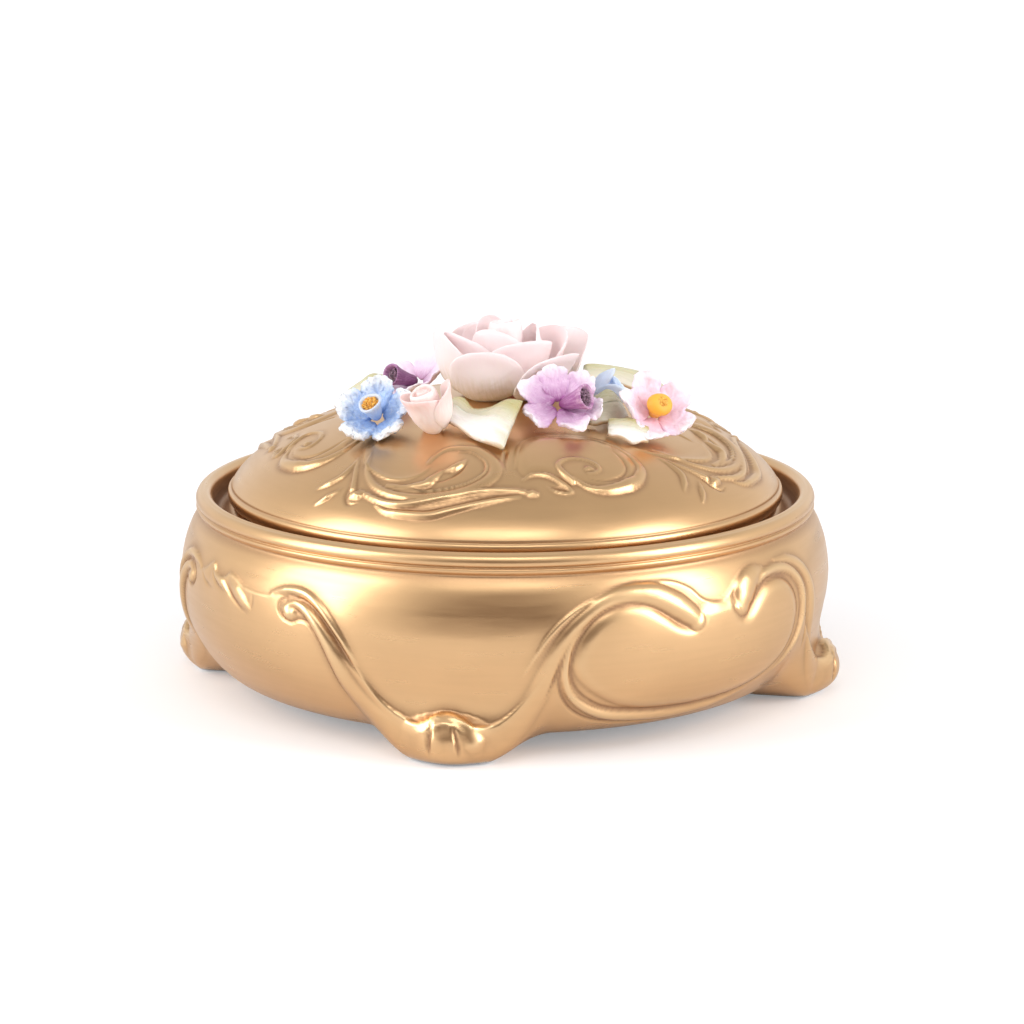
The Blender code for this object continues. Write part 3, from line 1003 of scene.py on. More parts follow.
    def relief(self, azimuth: Array, height: Array) -> Array:
        """Works the relief over the outer wall, repeated as the mould repeats it.

        Args:
            azimuth: The azimuths, in degrees.
            height: The wall's heights, with a row for each azimuth.

        Returns:
            How far each point of the wall is raised.
        """
        total = np.zeros(height.shape)
        groups = (
            (self.foot_relief, 90.0, 0.0, False, 1.0),
            (self.heart_relief, 180.0, 45.0, False, 0.9),
            (self.shell_relief, 180.0, -45.0, False, self.shell_depth),
            (self.curl_relief, 180.0, -45.0, False, 0.85),
            (self.curl_relief, 180.0, -45.0, True, 0.85),
        )
        sheets: dict[tuple[float, float, bool], Relief] = {}
        for strokes, period, centre, mirrored, depth in groups:
            local = (azimuth - centre + period / 2) % period - period / 2 + centre
            if mirrored:
                local = 2 * centre - local
            key = (period, centre, mirrored)
            if key not in sheets:
                across = np.broadcast_to((local * self.mm_per_degree)[:, None], height.shape)
                sheets[key] = Relief(across, -height)
            for stroke in strokes:
                path = np.array(stroke.path, float) * (self.mm_per_degree, -1.0)
                sheets[key].work(stroke, path, depth)
        for sheet in sheets.values():
            total += sheet.height()
        return total

    def closed(self, grid: Array, rows: int) -> tuple[Array, Array]:
        """Joins the grid into one closed skin, with a point on the axis for the sole and the floor.

        Args:
            grid: The points of the outside and then of the inside, with a row for each azimuth.
            rows: How many of a row's points belong to the outside.

        Returns:
            Points and faces.
        """
        count = grid.shape[1]
        faces = ring_faces(self.sides, count)
        faces = faces[faces[:, 0] % count != rows - 1]
        i = np.arange(self.sides)
        j = (i + 1) % self.sides
        sole, floor = (np.full(self.sides, self.sides * count + n) for n in (0, 1))
        seam = (i * count + count - 1, i * count, j * count, j * count + count - 1)
        low = (i * count + rows - 1, sole, *[j * count + rows - 1] * 2)
        high = (floor, i * count + rows, *[j * count + rows] * 2)
        faces = np.vstack([faces, *(np.stack(part, -1) for part in (seam, low, high))])
        poles = [(0.0, 0.0, self.sole_height), (0.0, 0.0, self.floor_height)]
        return np.vstack([grid.reshape(-1, 3), poles]), faces

    def wall_marks(self, radius: Array, height: Array, rise: Array) -> dict[str, Array]:
        """Says where the outer wall is gilded, has painted shade in its hollows, and is paler on
        ridges.

        Args:
            radius: The wall's radii.
            height: The wall's heights.
            rise: Its relief.

        Returns:
            A grid of values from 0 to 1 for each mark.
        """
        dip = blurred(rise, 3) - rise
        bare = (radius < 59) & (height < 5.2)
        return {
            "gilt": np.where(bare, 0.0, ease((height - 0.55) / 0.5)),
            # Painted shade in the relief's hollows, from how far each point lies below its blurred
            # neighbours.
            "hollow": np.clip(dip * 3.2, 0, 1) * 0.9,
            # Paler on the relief's raised parts.
            "raised_pale": np.clip(-dip * 2.4, 0, 1),
        }

    def rim_marks(self, rim: Array) -> dict[str, Array]:
        """Says where the rim is gilded: painted shade in its two lines and inside its lip, paler on
        top.

        Args:
            rim: The rim's outline.

        Returns:
            A row of values from 0 to 1 for each mark.
        """
        radius, height = rim.T
        # Painted shade in the rim's two lines and down the inner face of its lip.
        upper = np.clip(1 - np.abs(height - 43.45) / 0.35, 0, 1) * (radius > 70)
        within = np.clip((45.2 - height) / 1.6, 0, 1) * (radius < 68.7)
        lower = np.clip(1 - np.abs(height - 41.6) / 0.4, 0, 1)
        return {
            "gilt": np.ones(len(rim)),
            "hollow": 0.7 * np.max([upper, within, lower], axis=0),
            # Paler on the rim's top.
            "raised_pale": np.clip((height - 45.2) / 1.2, 0, 1) * 0.6,
        }

    def inner_marks(self, inner: Array, azimuth: Array) -> dict[str, Array]:
        """Says where the inside is gilded: gold down to an uneven line, with painted shade in the
        moat.

        Args:
            inner: The inside's outline.
            azimuth: The azimuths, in degrees.

        Returns:
            A grid or row of values from 0 to 1 for each mark.
        """
        radius, height = inner.T
        turn = np.radians(azimuth)
        wobble = 0.5 + 0.35 * np.sin(turn * 5) * np.sin(turn * 2 + 1)
        over_ledge = ease((height[None, :] - 40.4 - wobble[:, None]) / 0.5)
        return {
            "gilt": np.maximum(over_ledge, (radius > 64.0) & (height > 38.5)),
            # Painted shade in the moat between the ledge and the rim, where the lid's flange
            # stands.
            "hollow": np.where((radius > 64.2) & (height > 38.0), 1.0, 0.0),
            "raised_pale": np.zeros(len(inner)),
        }

    def build(self, shop: Workshop) -> None:
        """Builds and gilds the bowl.

        Args:
            shop: Where the piece is made.
        """
        azimuth = np.arange(self.sides) * 360.0 / self.sides - 180.0
        radius, height = self.wall(azimuth)
        rise = self.relief(azimuth, height) * ease((height - 0.6) / 2.5)
        wall = turned_points(radius, height, azimuth)
        wall = wall + grid_normals(wall) * rise[..., None]
        rim = even_outline(self.rim, 0.35)[:-1]
        under = even_outline(self.underside, 3.0)[1:]
        inner = even_outline(self.inside, 1.3)
        parts = [turned_outline(rim, azimuth), wall]
        parts += [turned_outline(outline, azimuth) for outline in (under, inner)]
        rows = len(rim) + self.wall_rows + len(under)
        points, faces = self.closed(np.concatenate(parts, 1), rows)
        plain = {name: np.zeros(len(under)) for name in ("gilt", "hollow", "raised_pale")}
        regions = (
            self.rim_marks(rim), self.wall_marks(radius, height, rise), plain,
            self.inner_marks(inner, azimuth),
        )
        marks = {}
        for name in plain:
            shapes = [(self.sides, part.shape[1]) for part in parts]
            values = [np.broadcast_to(r[name], shape) for r, shape in zip(regions, shapes)]
            marks[name] = np.concatenate(values, 1)
        # Painted shade on the first rows of the wall under the rim's moulding, fading downwards.
        below_rim = slice(len(rim), len(rim) + 5)
        shadow = np.linspace(0.6, 0.1, 5)
        marks["hollow"][:, below_rim] = np.maximum(marks["hollow"][:, below_rim], shadow)
        marks = {name: np.append(values.ravel(), [0.0, 0.0]) for name, values in marks.items()}
        shop.add(
            "bowl_fired", points, faces, shop.finish(GoldLustre()), "gilded_porcelain", BOWL_BODY,
            ["bowl"], marks,
        )


@dataclass
class Lid:
    """The domed lid with its scrolls and the flange that keeps it in the bowl.

    The dome reaches height rise above foot_height at its top and comes down to it at radius edge.
    """

    sides: int = 1200
    edge: float = 64.2
    foot_height: float = 45.5
    rise: float = 22.5
    fullness: float = 0.625
    thick: float = 3.6
    relief_period: float = 90.0
    relief_centre: float = 6.0
    lip: tuple[Pair, ...] = (
        (63.62, 46.95), (63.95, 46.85), (64.35, 46.5), (64.5, 45.9), (64.5, 45.0), (64.3, 44.2),
        (63.6, 43.5), (62.9, 43.15), (61.8, 42.85), (60.4, 42.8), (59.5, 42.7), (59.2, 42.0),
        (59.2, 39.6), (58.8, 38.6), (57.8, 38.1), (56.8, 38.5), (56.4, 39.6), (56.4, 42.5),
        (55.8, 45.2), (53.2, 48.2),
    )
    scrolls: tuple[Stroke, ...] = (
        mound(
            (3.4,), (0.7,),
            13.5, 38.9, 17.3, 34.8, 24.9, 33.2, 34, 33.9, 41.2, 36, 45.4, 39.2, 47.2, 43.4,
            47.5, 46.9, 46.3, 50.2, 43.8, 52.4, 37.8, 54.2, 33.4, 54.4, 28, 52.4, 24, 51, 19, 48.9,
            14.2, 49, 12.4, 44.6,
        ),
        cord(
            (0.45, 0.5, 0.5, 0.5, 0.55, 0.7, 1.2, 1.8, 1.2, 0.6),
            (0.1, 0.14, 0.16, 0.18, 0.2, 0.3, 0.7, 1.2, 0.8, 0.2),
            12.4, 46, 13.5, 38.9, 17.3, 34.8, 24.9, 33.2, 34, 33.9, 41.2, 36, 45.4, 39.2,
            47.2, 43.4, 47.5, 46.9, 46.3, 50.2, 43.8, 52.4, 41.7, 53.4, 37.8, 54.3, 33.4, 54.6,
            30.1, 53.7, 28, 52.2, 26.4, 50.6,
        ),
        groove(
            (0.5, 0.7, 0.8, 0.7, 0.5), (0.1, 0.3, 0.45, 0.35, 0.1),
            43, 43, 43.2, 47, 41.6, 50.2, 38, 52, 33.6, 52.3, 30.2, 51.4,
        ),
        cord(
            (0.9, 0.8, 0.7, 0.6, 0.6, 0.6, 0.5), (0.6, 0.5, 0.4, 0.35, 0.35, 0.35, 0.25),
            26.2, 51.5, 24.5, 48.8, 24, 46.5, 25.9, 44.8, 28.9, 44.3, 32.3, 45.2, 34.3, 47,
            34.5, 48.8, 32.6, 49.9, 30.9, 49.9,
        ),
        cord((0.7, 0.9, 0.7), (0.4, 0.55, 0.4), 31, 48.6, 31.7, 48.3, 32.3, 48.7),
        cord(
            (0.4, 0.6, 0.7, 0.8, 0.9, 0.7), (0.2, 0.45, 0.55, 0.6, 0.6, 0.4),
            13.9, 50.3, 16.2, 48.9, 19.7, 48.9, 22.5, 50.6, 24.6, 53, 25.1, 54.2,
        ),
        groove((0.4, 0.8, 0.4), (0.1, 0.45, 0.1), 20.4, 52.3, 22.5, 53, 24.6, 53.6),
        cord(
            (0.3, 0.5, 0.5, 0.3), (0.1, 0.4, 0.4, 0.1),
            19.6, 52.6, 21.6, 53.9, 24.2, 54.6, 25.8, 54.2,
        ),
        cord((1, 1.2, 1), (0.5, 0.7, 0.5), 15.2, 54.3, 15.9, 54.2, 16.6, 54.4),
        cord(
            (0.5, 0.9, 1.1, 1.1, 1, 0.9, 0.8, 0.7), (0.3, 0.7, 0.9, 0.85, 0.8, 0.75, 0.6, 0.4),
            -25.3, 56, -22.2, 56.9, -17.7, 58, -13.3, 58.1, -8.2, 56.8, -2.6, 55.1, 3.2, 53.7,
            8, 53.2, 12.5, 53.4, 15, 54,
        ),
        cord(
            (0.4, 1, 1.2, 1.2, 1, 0.8, 0.5), (0.2, 0.7, 0.8, 0.75, 0.65, 0.5, 0.2),
            -19.2, 58.7, -15.3, 59.9, -7.4, 60, -2.1, 58.6, 3.5, 56.9, 9.3, 55.5, 12.9, 55,
        ),
        groove(
            (0.4, 0.7, 0.7, 0.6, 0.5, 0.3), (0.1, 0.45, 0.5, 0.45, 0.3, 0.1),
            -13.6, 59, -7.6, 58.6, -1.4, 57, 4, 55.4, 9, 54.4, 13, 54.2,
        ),
        cord(
            (0.5, 1, 1.5, 1.8, 1.9, 1.8, 1.5, 1.2, 1, 0.7, 0.4),
            (0.2, 0.35, 0.5, 0.6, 0.65, 0.7, 0.7, 0.6, 0.5, 0.35, 0.1),
            -12.4, 45.4, -11.7, 42.6, -9.7, 39.7, -5.5, 38.6, 0.6, 39.3, 5, 42.4, 6.8, 45.8,
            6.1, 49.3, 2.6, 52.4, -1.5, 54.4, -6.4, 55.6, -11.5, 56.2, -16.8, 55.8, -20.8, 54.8,
            -24.4, 53, -28.5, 49.6, -32.5, 44.5,
        ),
        cord(
            (0.35, 0.4, 0.45, 0.45, 0.4, 0.3), (0.2, 0.45, 0.75, 0.75, 0.6, 0.2),
            -5, 40.2, -0.6, 40.6, 3.2, 43.2, 4.6, 46.2, 3.6, 49, 0.4, 51.6, -4, 53.4, -9, 54.4,
            -14.4, 54.6, -19.4, 53.9,
        ),
        ledge(
            (1.4,), (0.15, 0.45, 0.55, 0.45, 0.2),
            -11, 46, -12.2, 49, -15, 51.2, -19.5, 51.9, -25.9, 50.3, -31.5, 47.5, -37.5, 42.8,
        ),
        cord(
            (0.4, 0.7, 1.2, 1.5, 0.7), (0.2, 0.4, 0.8, 1, 0.4),
            -19.4, 53.5, -14.4, 53.6, -9.9, 52.4, -8.6, 50.5, -7.4, 48.2,
        ),
        cord(
            (0.5, 1.2, 1.1, 0.3), (0.3, 0.9, 0.8, 0.1),
            -6.8, 47.8, -4.8, 47, -3, 45.2, -1.8, 43.2,
        ),
        groove(
            (0.4, 0.8, 0.8, 0.4), (0.1, 0.35, 0.35, 0.1),
            -8.8, 51.8, -6, 50.6, -3.2, 48.2, -1.2, 45,
        ),
        cord((1, 1.3, 1), (0.7, 0.95, 0.7), -26.2, 57.4, -25.3, 57.2, -24.5, 57.3),
        groove(
            (0.3, 0.6, 0.6, 0.3), (0.1, 0.4, 0.4, 0.1),
            -28.6, 55.4, -28, 57.6, -26, 59.4, -23.6, 59,
        ),
        cord(
            (0.4, 0.9, 1, 0.7, 0.3), (0.2, 0.6, 0.6, 0.4, 0.1),
            -36.9, 57.4, -34.6, 55.4, -33.2, 53.2, -33.3, 50.4, -34.2, 47.6,
        ),
        cord((0.4, 0.9, 0.4), (0.2, 0.65, 0.2), -34.2, 60.6, -32.6, 59.1, -30.5, 56.6),
        cord(
            (0.4, 0.6, 0.7, 0.9), (0.1, 0.35, 0.45, 0.7),
            -34.6, 46.8, -31.6, 50.2, -29, 53.4, -27.2, 56,
        ),
        groove((0.9, 0.8, 0.3), (0.45, 0.4, 0.1), 9.6, 40, 9.4, 43.6, 9.9, 47.2),
    )

    def dome_height(self, radius: Array | float) -> Array:
        """Finds the height of the bare dome.

        Args:
            radius: The radius or radii.

        Returns:
            The height at each.
        """
        inside = np.clip(1 - (np.asarray(radius, float) / self.edge) ** 2, 0.0, 1.0)
        return self.foot_height + self.rise * inside**self.fullness

    def reach_over(self, radius: Array) -> Array:
        """Finds distances over the dome's surface from its top.

        Args:
            radius: The radii to measure to.

        Returns:
            The distance to each.
        """
        fine = np.linspace(0.0, self.edge - 0.02, 4000)
        steps = np.hypot(np.diff(fine), np.diff(self.dome_height(fine)))
        return np.interp(radius, fine, np.concatenate([[0.0], np.cumsum(steps)]))

    def relief(self, azimuth: Array, radius: Array) -> Array:
        """Works the scrolls over the dome, four times round.

        Args:
            azimuth: The azimuths, in degrees.
            radius: The radii.

        Returns:
            How far each point of the dome is raised, with a row for each azimuth.
        """
        half = self.relief_period / 2
        local = (azimuth - self.relief_centre + half) % self.relief_period - half
        local = np.radians(local)[:, None]
        over = self.reach_over(radius)[None, :]
        sheet = Relief(over * np.sin(local), over * np.cos(local))
        for stroke in self.scrolls:
            path = np.array(stroke.path, float)
            turn = np.radians(path[:, 0] - self.relief_centre)
            far = self.reach_over(path[:, 1])
            sheet.work(stroke, np.stack([far * np.sin(turn), far * np.cos(turn)], -1))
        return sheet.height()

    def build(self, shop: Workshop) -> None:
        """Builds and gilds the lid.

        Args:
            shop: Where the piece is made.
        """
        azimuth = np.arange(self.sides) * 360.0 / self.sides - 180.0
        bands = ((2.0, 28.0, 14), (28.4, 58.0, 76), (58.3, 63.72, 22))
        radius = np.concatenate([np.linspace(*band) for band in bands])
        height = self.dome_height(radius)
        dome = turned_outline(np.stack([radius, height], -1), azimuth)
        rise = self.relief(azimuth, radius) * ease((63.0 - radius) / 3.0)
        normals = -grid_normals(dome)
        normals[normals[..., 2] < 0] *= -1
        dome = dome + normals * rise[..., None]
        dip = blurred(rise, 2) - rise
        lip = even_outline(self.lip, 0.45)
        under_radius = np.linspace(52.0, 2.0, 26)
        under = np.stack([under_radius, self.dome_height(under_radius) - self.thick], -1)
        below = np.vstack([lip, under])
        grid = np.concatenate([dome, turned_outline(below, azimuth)], 1)
        rows, on_dome = grid.shape[1], len(radius)
        marks = {name: np.zeros(grid.shape[:2]) for name in ("gilt", "hollow", "raised_pale")}
        marks["gilt"][:, :on_dome] = 1.0
        marks["gilt"][:, on_dome:] = ease((below[:, 1] - 42.7) / 0.4) * (below[:, 0] > 60.0)
        # Painted shade in the scrolls' hollows, on the flange down in the moat, and in the crease
        # at the dome's edge.
        marks["hollow"][:, :on_dome] = np.clip(dip * 4.5, 0, 1) * 0.8
        marks["hollow"][:, on_dome:] = np.clip(44.4 - below[:, 1], 0, 1) * 0.9
        marks["hollow"][:, on_dome - 1 : on_dome + 1] = 0.6
        # Paler on the scrolls' raised parts.
        marks["raised_pale"][:, :on_dome] = np.clip(-dip * 2.6, 0, 1)
        points, faces = close_with_poles(
            grid.reshape(-1, 3), ring_faces(self.sides, rows), self.sides, rows
        )
        top = {"gilt": 1.0, "hollow": 0.0, "raised_pale": 0.0}
        marks = {name: np.append(grid, [top[name], 0.0]) for name, grid in marks.items()}
        shop.add(
            "lid_fired", points, faces[:, ::-1], shop.finish(GoldLustre()), "gilded_porcelain",
            LID_BODY, ["lid"], marks,
        )


def sheet_faces(columns: int, rows: int) -> tuple[Array, Array]:
    """Numbers a thin closed sheet whose two sides share their rim.

    Args:
        columns: Points across the sheet.
        rows: Points along it.

    Returns:
        The faces, and for each grid point the number of its back point: its own on the rim.
    """
    number = np.arange(columns * rows).reshape(rows, columns)
    back = number.copy()
    inner = (slice(1, rows - 1), slice(1, columns - 1))
    own = np.arange((rows - 2) * (columns - 2)).reshape(rows - 2, columns - 2)
    back[inner] = columns * rows + own
    front = [number[:-1, :-1], number[:-1, 1:], number[1:, 1:], number[1:, :-1]]
    rear = [back[:-1, :-1], back[1:, :-1], back[1:, 1:], back[:-1, 1:]]
    return np.vstack([np.stack(side, -1).reshape(-1, 4) for side in (front, rear)]), back


def thick_sheet(
    middle: Array, thick: float, crumble: float, seed: float
) -> tuple[Array, Array, Array]:
    """A closed sheet of clay about a grid of middle points.

    Args:
        middle: The middle points, rows by columns.
        thick: The thickness, which is rounded off at the edges.
        crumble: How far the rough surface strays, in millimetres.
        seed: Makes the roughness of each sheet its own.

    Returns:
        Points, faces and each point's place on the sheet (across from -1 to 1, along from 0 to 1).
    """
    rows, columns = middle.shape[:2]
    across = np.gradient(middle, axis=1)
    along = np.gradient(middle, axis=0)
    normal = np.cross(across, along)
    normal /= np.maximum(np.linalg.norm(normal, axis=-1, keepdims=True), 1e-9)
    j, i = np.meshgrid(np.arange(rows), np.arange(columns), indexing="ij")
    inward = np.min([i, columns - 1 - i, j + 2, rows - 1 - j], axis=0) / 2.2
    round_off = np.sqrt(1 - (1 - np.clip(inward, 0, 1)) ** 2)
    half = (thick / 2 * round_off)[..., None]
    front = middle + normal * half
    rear = middle - normal * half
    faces, back = sheet_faces(columns, rows)
    points = np.empty((back.max() + 1, 3))
    points[np.arange(rows * columns)] = front.reshape(-1, 3)
    inner = back.ravel() >= rows * columns
    points[back.ravel()[inner]] = rear.reshape(-1, 3)[inner]
    places = np.empty((len(points), 2))
    spots = np.stack([2 * i / (columns - 1) - 1, j / (rows - 1)], -1).reshape(-1, 2)
    places[: rows * columns] = spots
    places[back.ravel()[inner]] = spots[inner]
    return roughened(points, places, crumble, seed), faces, places


@dataclass(frozen=True)
class Petal:
    """The shape of one hand-pinched petal about its flower's axis.

    profile holds the (radius, height) of four control points from root to lip. width is its full
    width. bend is the radius it is cupped to across, at the root and at the lip. taper narrows its
    root. scallops is how many notches its lip has and scallop_depth how deep they cut. roll, wave
    and swirl curl its edge, and peak draws its lip to a point. square below 1 makes it squarer.
    stray lifts some petals. crumble is how rough the clay is. rings are shares of the way out.
    """

    profile: tuple[Pair, Pair, Pair, Pair]
    width: float
    bend: Pair = (6.0, 9.0)
    taper: float = 0.45
    scallops: float = 0.0
    scallop_depth: float = 0.0
    roll: float = 0.0
    wave: float = 0.0
    swirl: float = 0.0
    peak: float = 0.0
    square: float = 1.0
    stray: float = 0.45
    thick: float = 1.0
    lip_thick: float = 0.7
    crumble: float = 0.0
    spokes: int = 60
    rings: tuple[float, ...] = (0.0, 0.18, 0.36, 0.52, 0.66, 0.77, 0.86, 0.925, 0.965, 0.988, 1.0)

    def surface(
        self, across: Array, along: Array, ring: Array, spoke: Array, turn: float, seed: float
    ) -> Array:
        """The petal's middle surface.

        Args:
            across: Millimetres to each side of its middle line.
            along: 0 at the root to 1 at the lip.
            ring: 0 at its middle to 1 at its edge.
            spoke: The direction from its middle, in radians from the lip.
            turn: Its place about the flower's axis, in degrees.
            seed: Makes each petal a little different.

        Returns:
            A grid of points.
        """
        a, b, c, d = (np.array(p) for p in self.profile)
        t = along
        point, slope = [
            [sum(w * p[k] for w, p in zip(weights, (a, b, c, d))) for k in (0, 1)]
            for weights in (
                ((1 - t) ** 3, 3 * (1 - t) ** 2 * t, 3 * (1 - t) * t**2, t**3),
                (-3 * (1 - t) ** 2, 3 * (1 - t) * (1 - 3 * t), 3 * t * (2 - 3 * t), 3 * t**2),
            )
        ]
        length = np.maximum(np.hypot(*slope), TINY_LENGTH)
        inward = (-slope[1] / length, slope[0] / length)
        bend = self.bend[0] + (self.bend[1] - self.bend[0]) * t
        bend = bend * (1 + 0.10 * math.sin(2.3 * seed))
        sideways = bend * np.sin(across / bend)
        rise = bend * (1 - np.cos(across / bend))
        tip = np.clip(np.cos(spoke), 0, 1)
        outer = ease((ring - 0.55) / 0.45)
        uneven = 1 + 0.5 * np.sin(2.0 * spoke + seed)
        rise = rise - self.roll * outer * (0.35 + 0.65 * tip) * uneven
        ripple = np.sin(3.0 * spoke + 1.7 * seed)
        rise = rise + self.wave * ring**2.5 * ripple * (0.4 + 0.6 * tip)
        rise = rise + self.swirl * across / (0.5 * self.width)
        lift = self.stray * math.sin(3.1 * seed) * t
        radius = point[0] + inward[0] * rise
        height = point[1] + inward[1] * rise + lift
        angle = math.radians(turn)
        return np.stack(
            [
                radius * math.sin(angle) + sideways * math.cos(angle),
                -radius * math.cos(angle) + sideways * math.sin(angle),
                height + 0 * across,
            ],
            -1,
        )

    def build(self, turn: float, seed: float) -> tuple[Array, Array, Array]:
        """Builds the petal.

        Args:
            turn: Its place about the flower's axis, in degrees.
            seed: Makes each petal a little different.

        Returns:
            Points, faces and each point's place on the petal.
        """
        ring = np.array(self.rings)[:, None] + np.zeros((1, self.spokes))
        spoke = np.linspace(0, 2 * math.pi, self.spokes, endpoint=False)[None, :] + 0 * ring
        half = 0.5 * self.width * (1 + 0.05 * math.sin(4.0 * seed))
        edge = 1.0 + self.peak * np.exp(-((np.angle(np.exp(1j * spoke)) / 0.35) ** 2))
        if self.scallops:
            phase = spoke * self.scallops / 2 + 0.5 * seed + 0.35 * np.sin(2 * spoke + seed)
            notch = (1 - np.abs(np.sin(phase))) ** 1.5
            edge = edge - self.scallop_depth * notch * np.sqrt(0.5 + 0.5 * np.cos(spoke)) * ring**3
        circle = (np.sin(spoke), np.cos(spoke))
        broad, tall = (np.sign(w) * np.abs(w) ** self.square for w in circle)
        across = half * ring * edge * broad * (1 - self.taper * (1 - np.cos(spoke)) / 2)
        along = 0.5 + 0.5 * ring * edge * tall
        args = (ring, spoke, turn, seed)
        middle = self.surface(across, along, *args)
        step = 0.02
        normal = np.cross(
            self.surface(across, along + step / 10, *args) - middle,
            self.surface(across + step, along, *args) - middle,
        )
        normal /= np.maximum(np.linalg.norm(normal, axis=-1, keepdims=True), 1e-12)
        to_lip = ease(ring * (0.5 + 0.5 * np.cos(spoke)))
        thick = self.thick + (self.lip_thick - self.thick) * to_lip
        body = (0.5 * thick * np.sqrt(np.clip(1 - ring**8, 0, 1)))[..., None]
        front, rear = middle + normal * body, middle - normal * body
        count, rows = self.spokes, len(self.rings)
        spots = np.stack([across / half, along], -1)
        points, places = (
            np.vstack([near[0, :1], *near[1:], far[0, :1], *far[1:-1]])
            for near, far in ((front, rear), (spots, spots))
        )
        start = 1 + (rows - 1) * count
        j = np.arange(count)
        k = (j + 1) % count

        def row(n: int, back: bool) -> int:
            """The number of the first point of a ring on one side."""
            return 1 + (n - 1) * count + (start if back and n < rows - 1 else 0)

        faces = []
        for back in (False, True):
            centre, first = (start, row(1, True)) if back else (0, row(1, False))
            fan = [np.full(count, centre), first + j, first + k, first + k]
            faces.append(np.stack([fan[0], fan[2], fan[1], fan[1]] if back else fan, -1))
            for n in range(1, rows - 1):
                inner, outer = row(n, back), row(n + 1, back)
                quad = [inner + j, outer + j, outer + k, inner + k]
                faces.append(np.stack(quad[::-1] if back else quad, -1))
        return roughened(points, places, self.crumble, seed), np.vstack(faces), places


def roughened(points: Array, places: Array, crumble: float, seed: float) -> Array:
    """Strays points a little as hand-worked clay strays, most towards the lip.

    Args:
        points: The points.
        places: Their places on the petal.
        crumble: How far they stray, in millimetres.
        seed: Makes the roughness of each piece its own.

    Returns:
        The strayed points.
    """
    if not crumble:
        return points
    result = points.copy()
    for n, point in enumerate(points):
        spot = Vector(point) * 0.85 + Vector((seed, seed * 0.7, 0.0))
        stray = noise.noise_vector(spot) * 0.5
        for scale, share in ((2.1, 0.35), (4.4, 0.25)):
            stray += noise.noise_vector(spot * scale) * share
        result[n] += np.array(stray) * crumble * (0.3 + 0.7 * float(np.clip(places[n, 1], 0, 1)))
    return result


def leaning(lean: float, towards: float) -> Matrix:
    """A turn by lean degrees about the level axis that lies towards degrees from +X."""
    heading = math.radians(towards)
    axis = Vector((math.cos(heading), math.sin(heading), 0.0))
    return Matrix.Rotation(math.radians(lean), 4, axis)


@dataclass(frozen=True)
class Stand:
    """Where a flower stands on the dome, how far above it, and how far it leans towards where."""

    spot: Pair
    above: float
    lean: float
    towards: float

    def matrix(self, lid: Lid) -> Matrix:
        """The flower's own axes on this lid, in millimetres."""
        height = float(lid.dome_height(math.hypot(*self.spot))) + self.above
        return Matrix.Translation((*self.spot, height)) @ leaning(self.lean, self.towards)


def moved(points: Array, matrix: Matrix) -> Array:
    """Points carried by a matrix."""
    full = np.array(matrix)
    return points @ full[:3, :3].T + full[:3, 3]


def lofted(
    outline: Sequence[Pair], sides: int, wobble: float, slant: float, seed: float
) -> tuple[Array, Array, Array]:
    """A hand-rolled turned piece, a little out of true.

    Args:
        outline: (radius, height) pairs from the middle of the foot to the middle of the mouth.
        sides: Points round it.
        wobble: How far it is out of round, as a share of its radius.
        slant: How far its mouth slopes, in millimetres each side.
        seed: Makes each piece its own.

    Returns:
        Points, faces and each point's place (round and along, from 0 to 1).
    """
    curve = even_outline(outline, 0.35)
    curve = curve[(curve[:, 0] > 0.05)]
    turn = np.linspace(-180, 180, sides, endpoint=False)
    angle = np.radians(turn)[:, None]
    top = max(curve[:, 1])
    lift = np.clip(curve[None, :, 1] / top, 0, 1) ** 3
    uneven = np.sin(2 * angle + seed) + 0.6 * np.sin(3 * angle + 2 * seed) * lift
    radius = curve[None, :, 0] * (1 + wobble * uneven)
    height = curve[None, :, 1] + slant * np.sin(angle + seed) * lift
    grid = turned_points(radius, height, turn)
    rows = grid.shape[1]
    points, faces = close_with_poles(grid.reshape(-1, 3), ring_faces(sides, rows), sides, rows)
    round_it, along = np.broadcast_arrays(turn[:, None] / 180, np.linspace(0, 1, rows)[None, :])
    places = np.stack([round_it, along], -1).reshape(-1, 2)
    return points, faces, np.vstack([places, [[0, 0], [0, 1]]])


def grains(
    centre: Array, radius: float, tall: float, count: int, size: float, seed: float
) -> tuple[Array, Array]:
    """A dab of crumbs heaped in a dome.

    Args:
        centre: The dome's centre.
        radius: The dome's radius.
        tall: The dome's height.
        count: How many crumbs.
        size: A crumb's radius.
        seed: Turns the arrangement.

    Returns:
        Points and faces.
    """
    rings, sides = 5, 7
    polar = np.linspace(0, math.pi, rings)[1:-1]
    ring = np.linspace(0, 2 * math.pi, sides, endpoint=False)
    ball = [
        (math.sin(p) * math.cos(r), math.sin(p) * math.sin(r), math.cos(p))
        for p in polar
        for r in ring
    ]
    ball = np.array([*ball, (0, 0, 1), (0, 0, -1)])
    rows = len(polar)
    top, low = rows * sides, rows * sides + 1
    last = (rows - 1) * sides
    around = [(i, (i + 1) % sides) for i in range(sides)]
    starts = range(0, last, sides)
    skin = [(k + i, k + sides + i, k + sides + j, k + j) for k in starts for i, j in around]
    for i, j in around:
        skin += [(top, i, j, j), (low, last + j, last + i, last + i)]
    points, faces = [], []
    for n in range(count):
        share = (n + 0.5) / count
        far = radius * math.sqrt(share)
        turn = n * GOLDEN_TURN + seed
        rise = tall * math.sqrt(1 - share * 0.9)
        spot = centre + (far * math.cos(turn), far * math.sin(turn), rise)
        points.append(ball * size * (0.8 + 0.35 * math.sin(n * 1.7 + seed)) + spot)
        faces.append(np.array(skin) + n * len(ball))
    return np.vstack(points), np.vstack(faces)


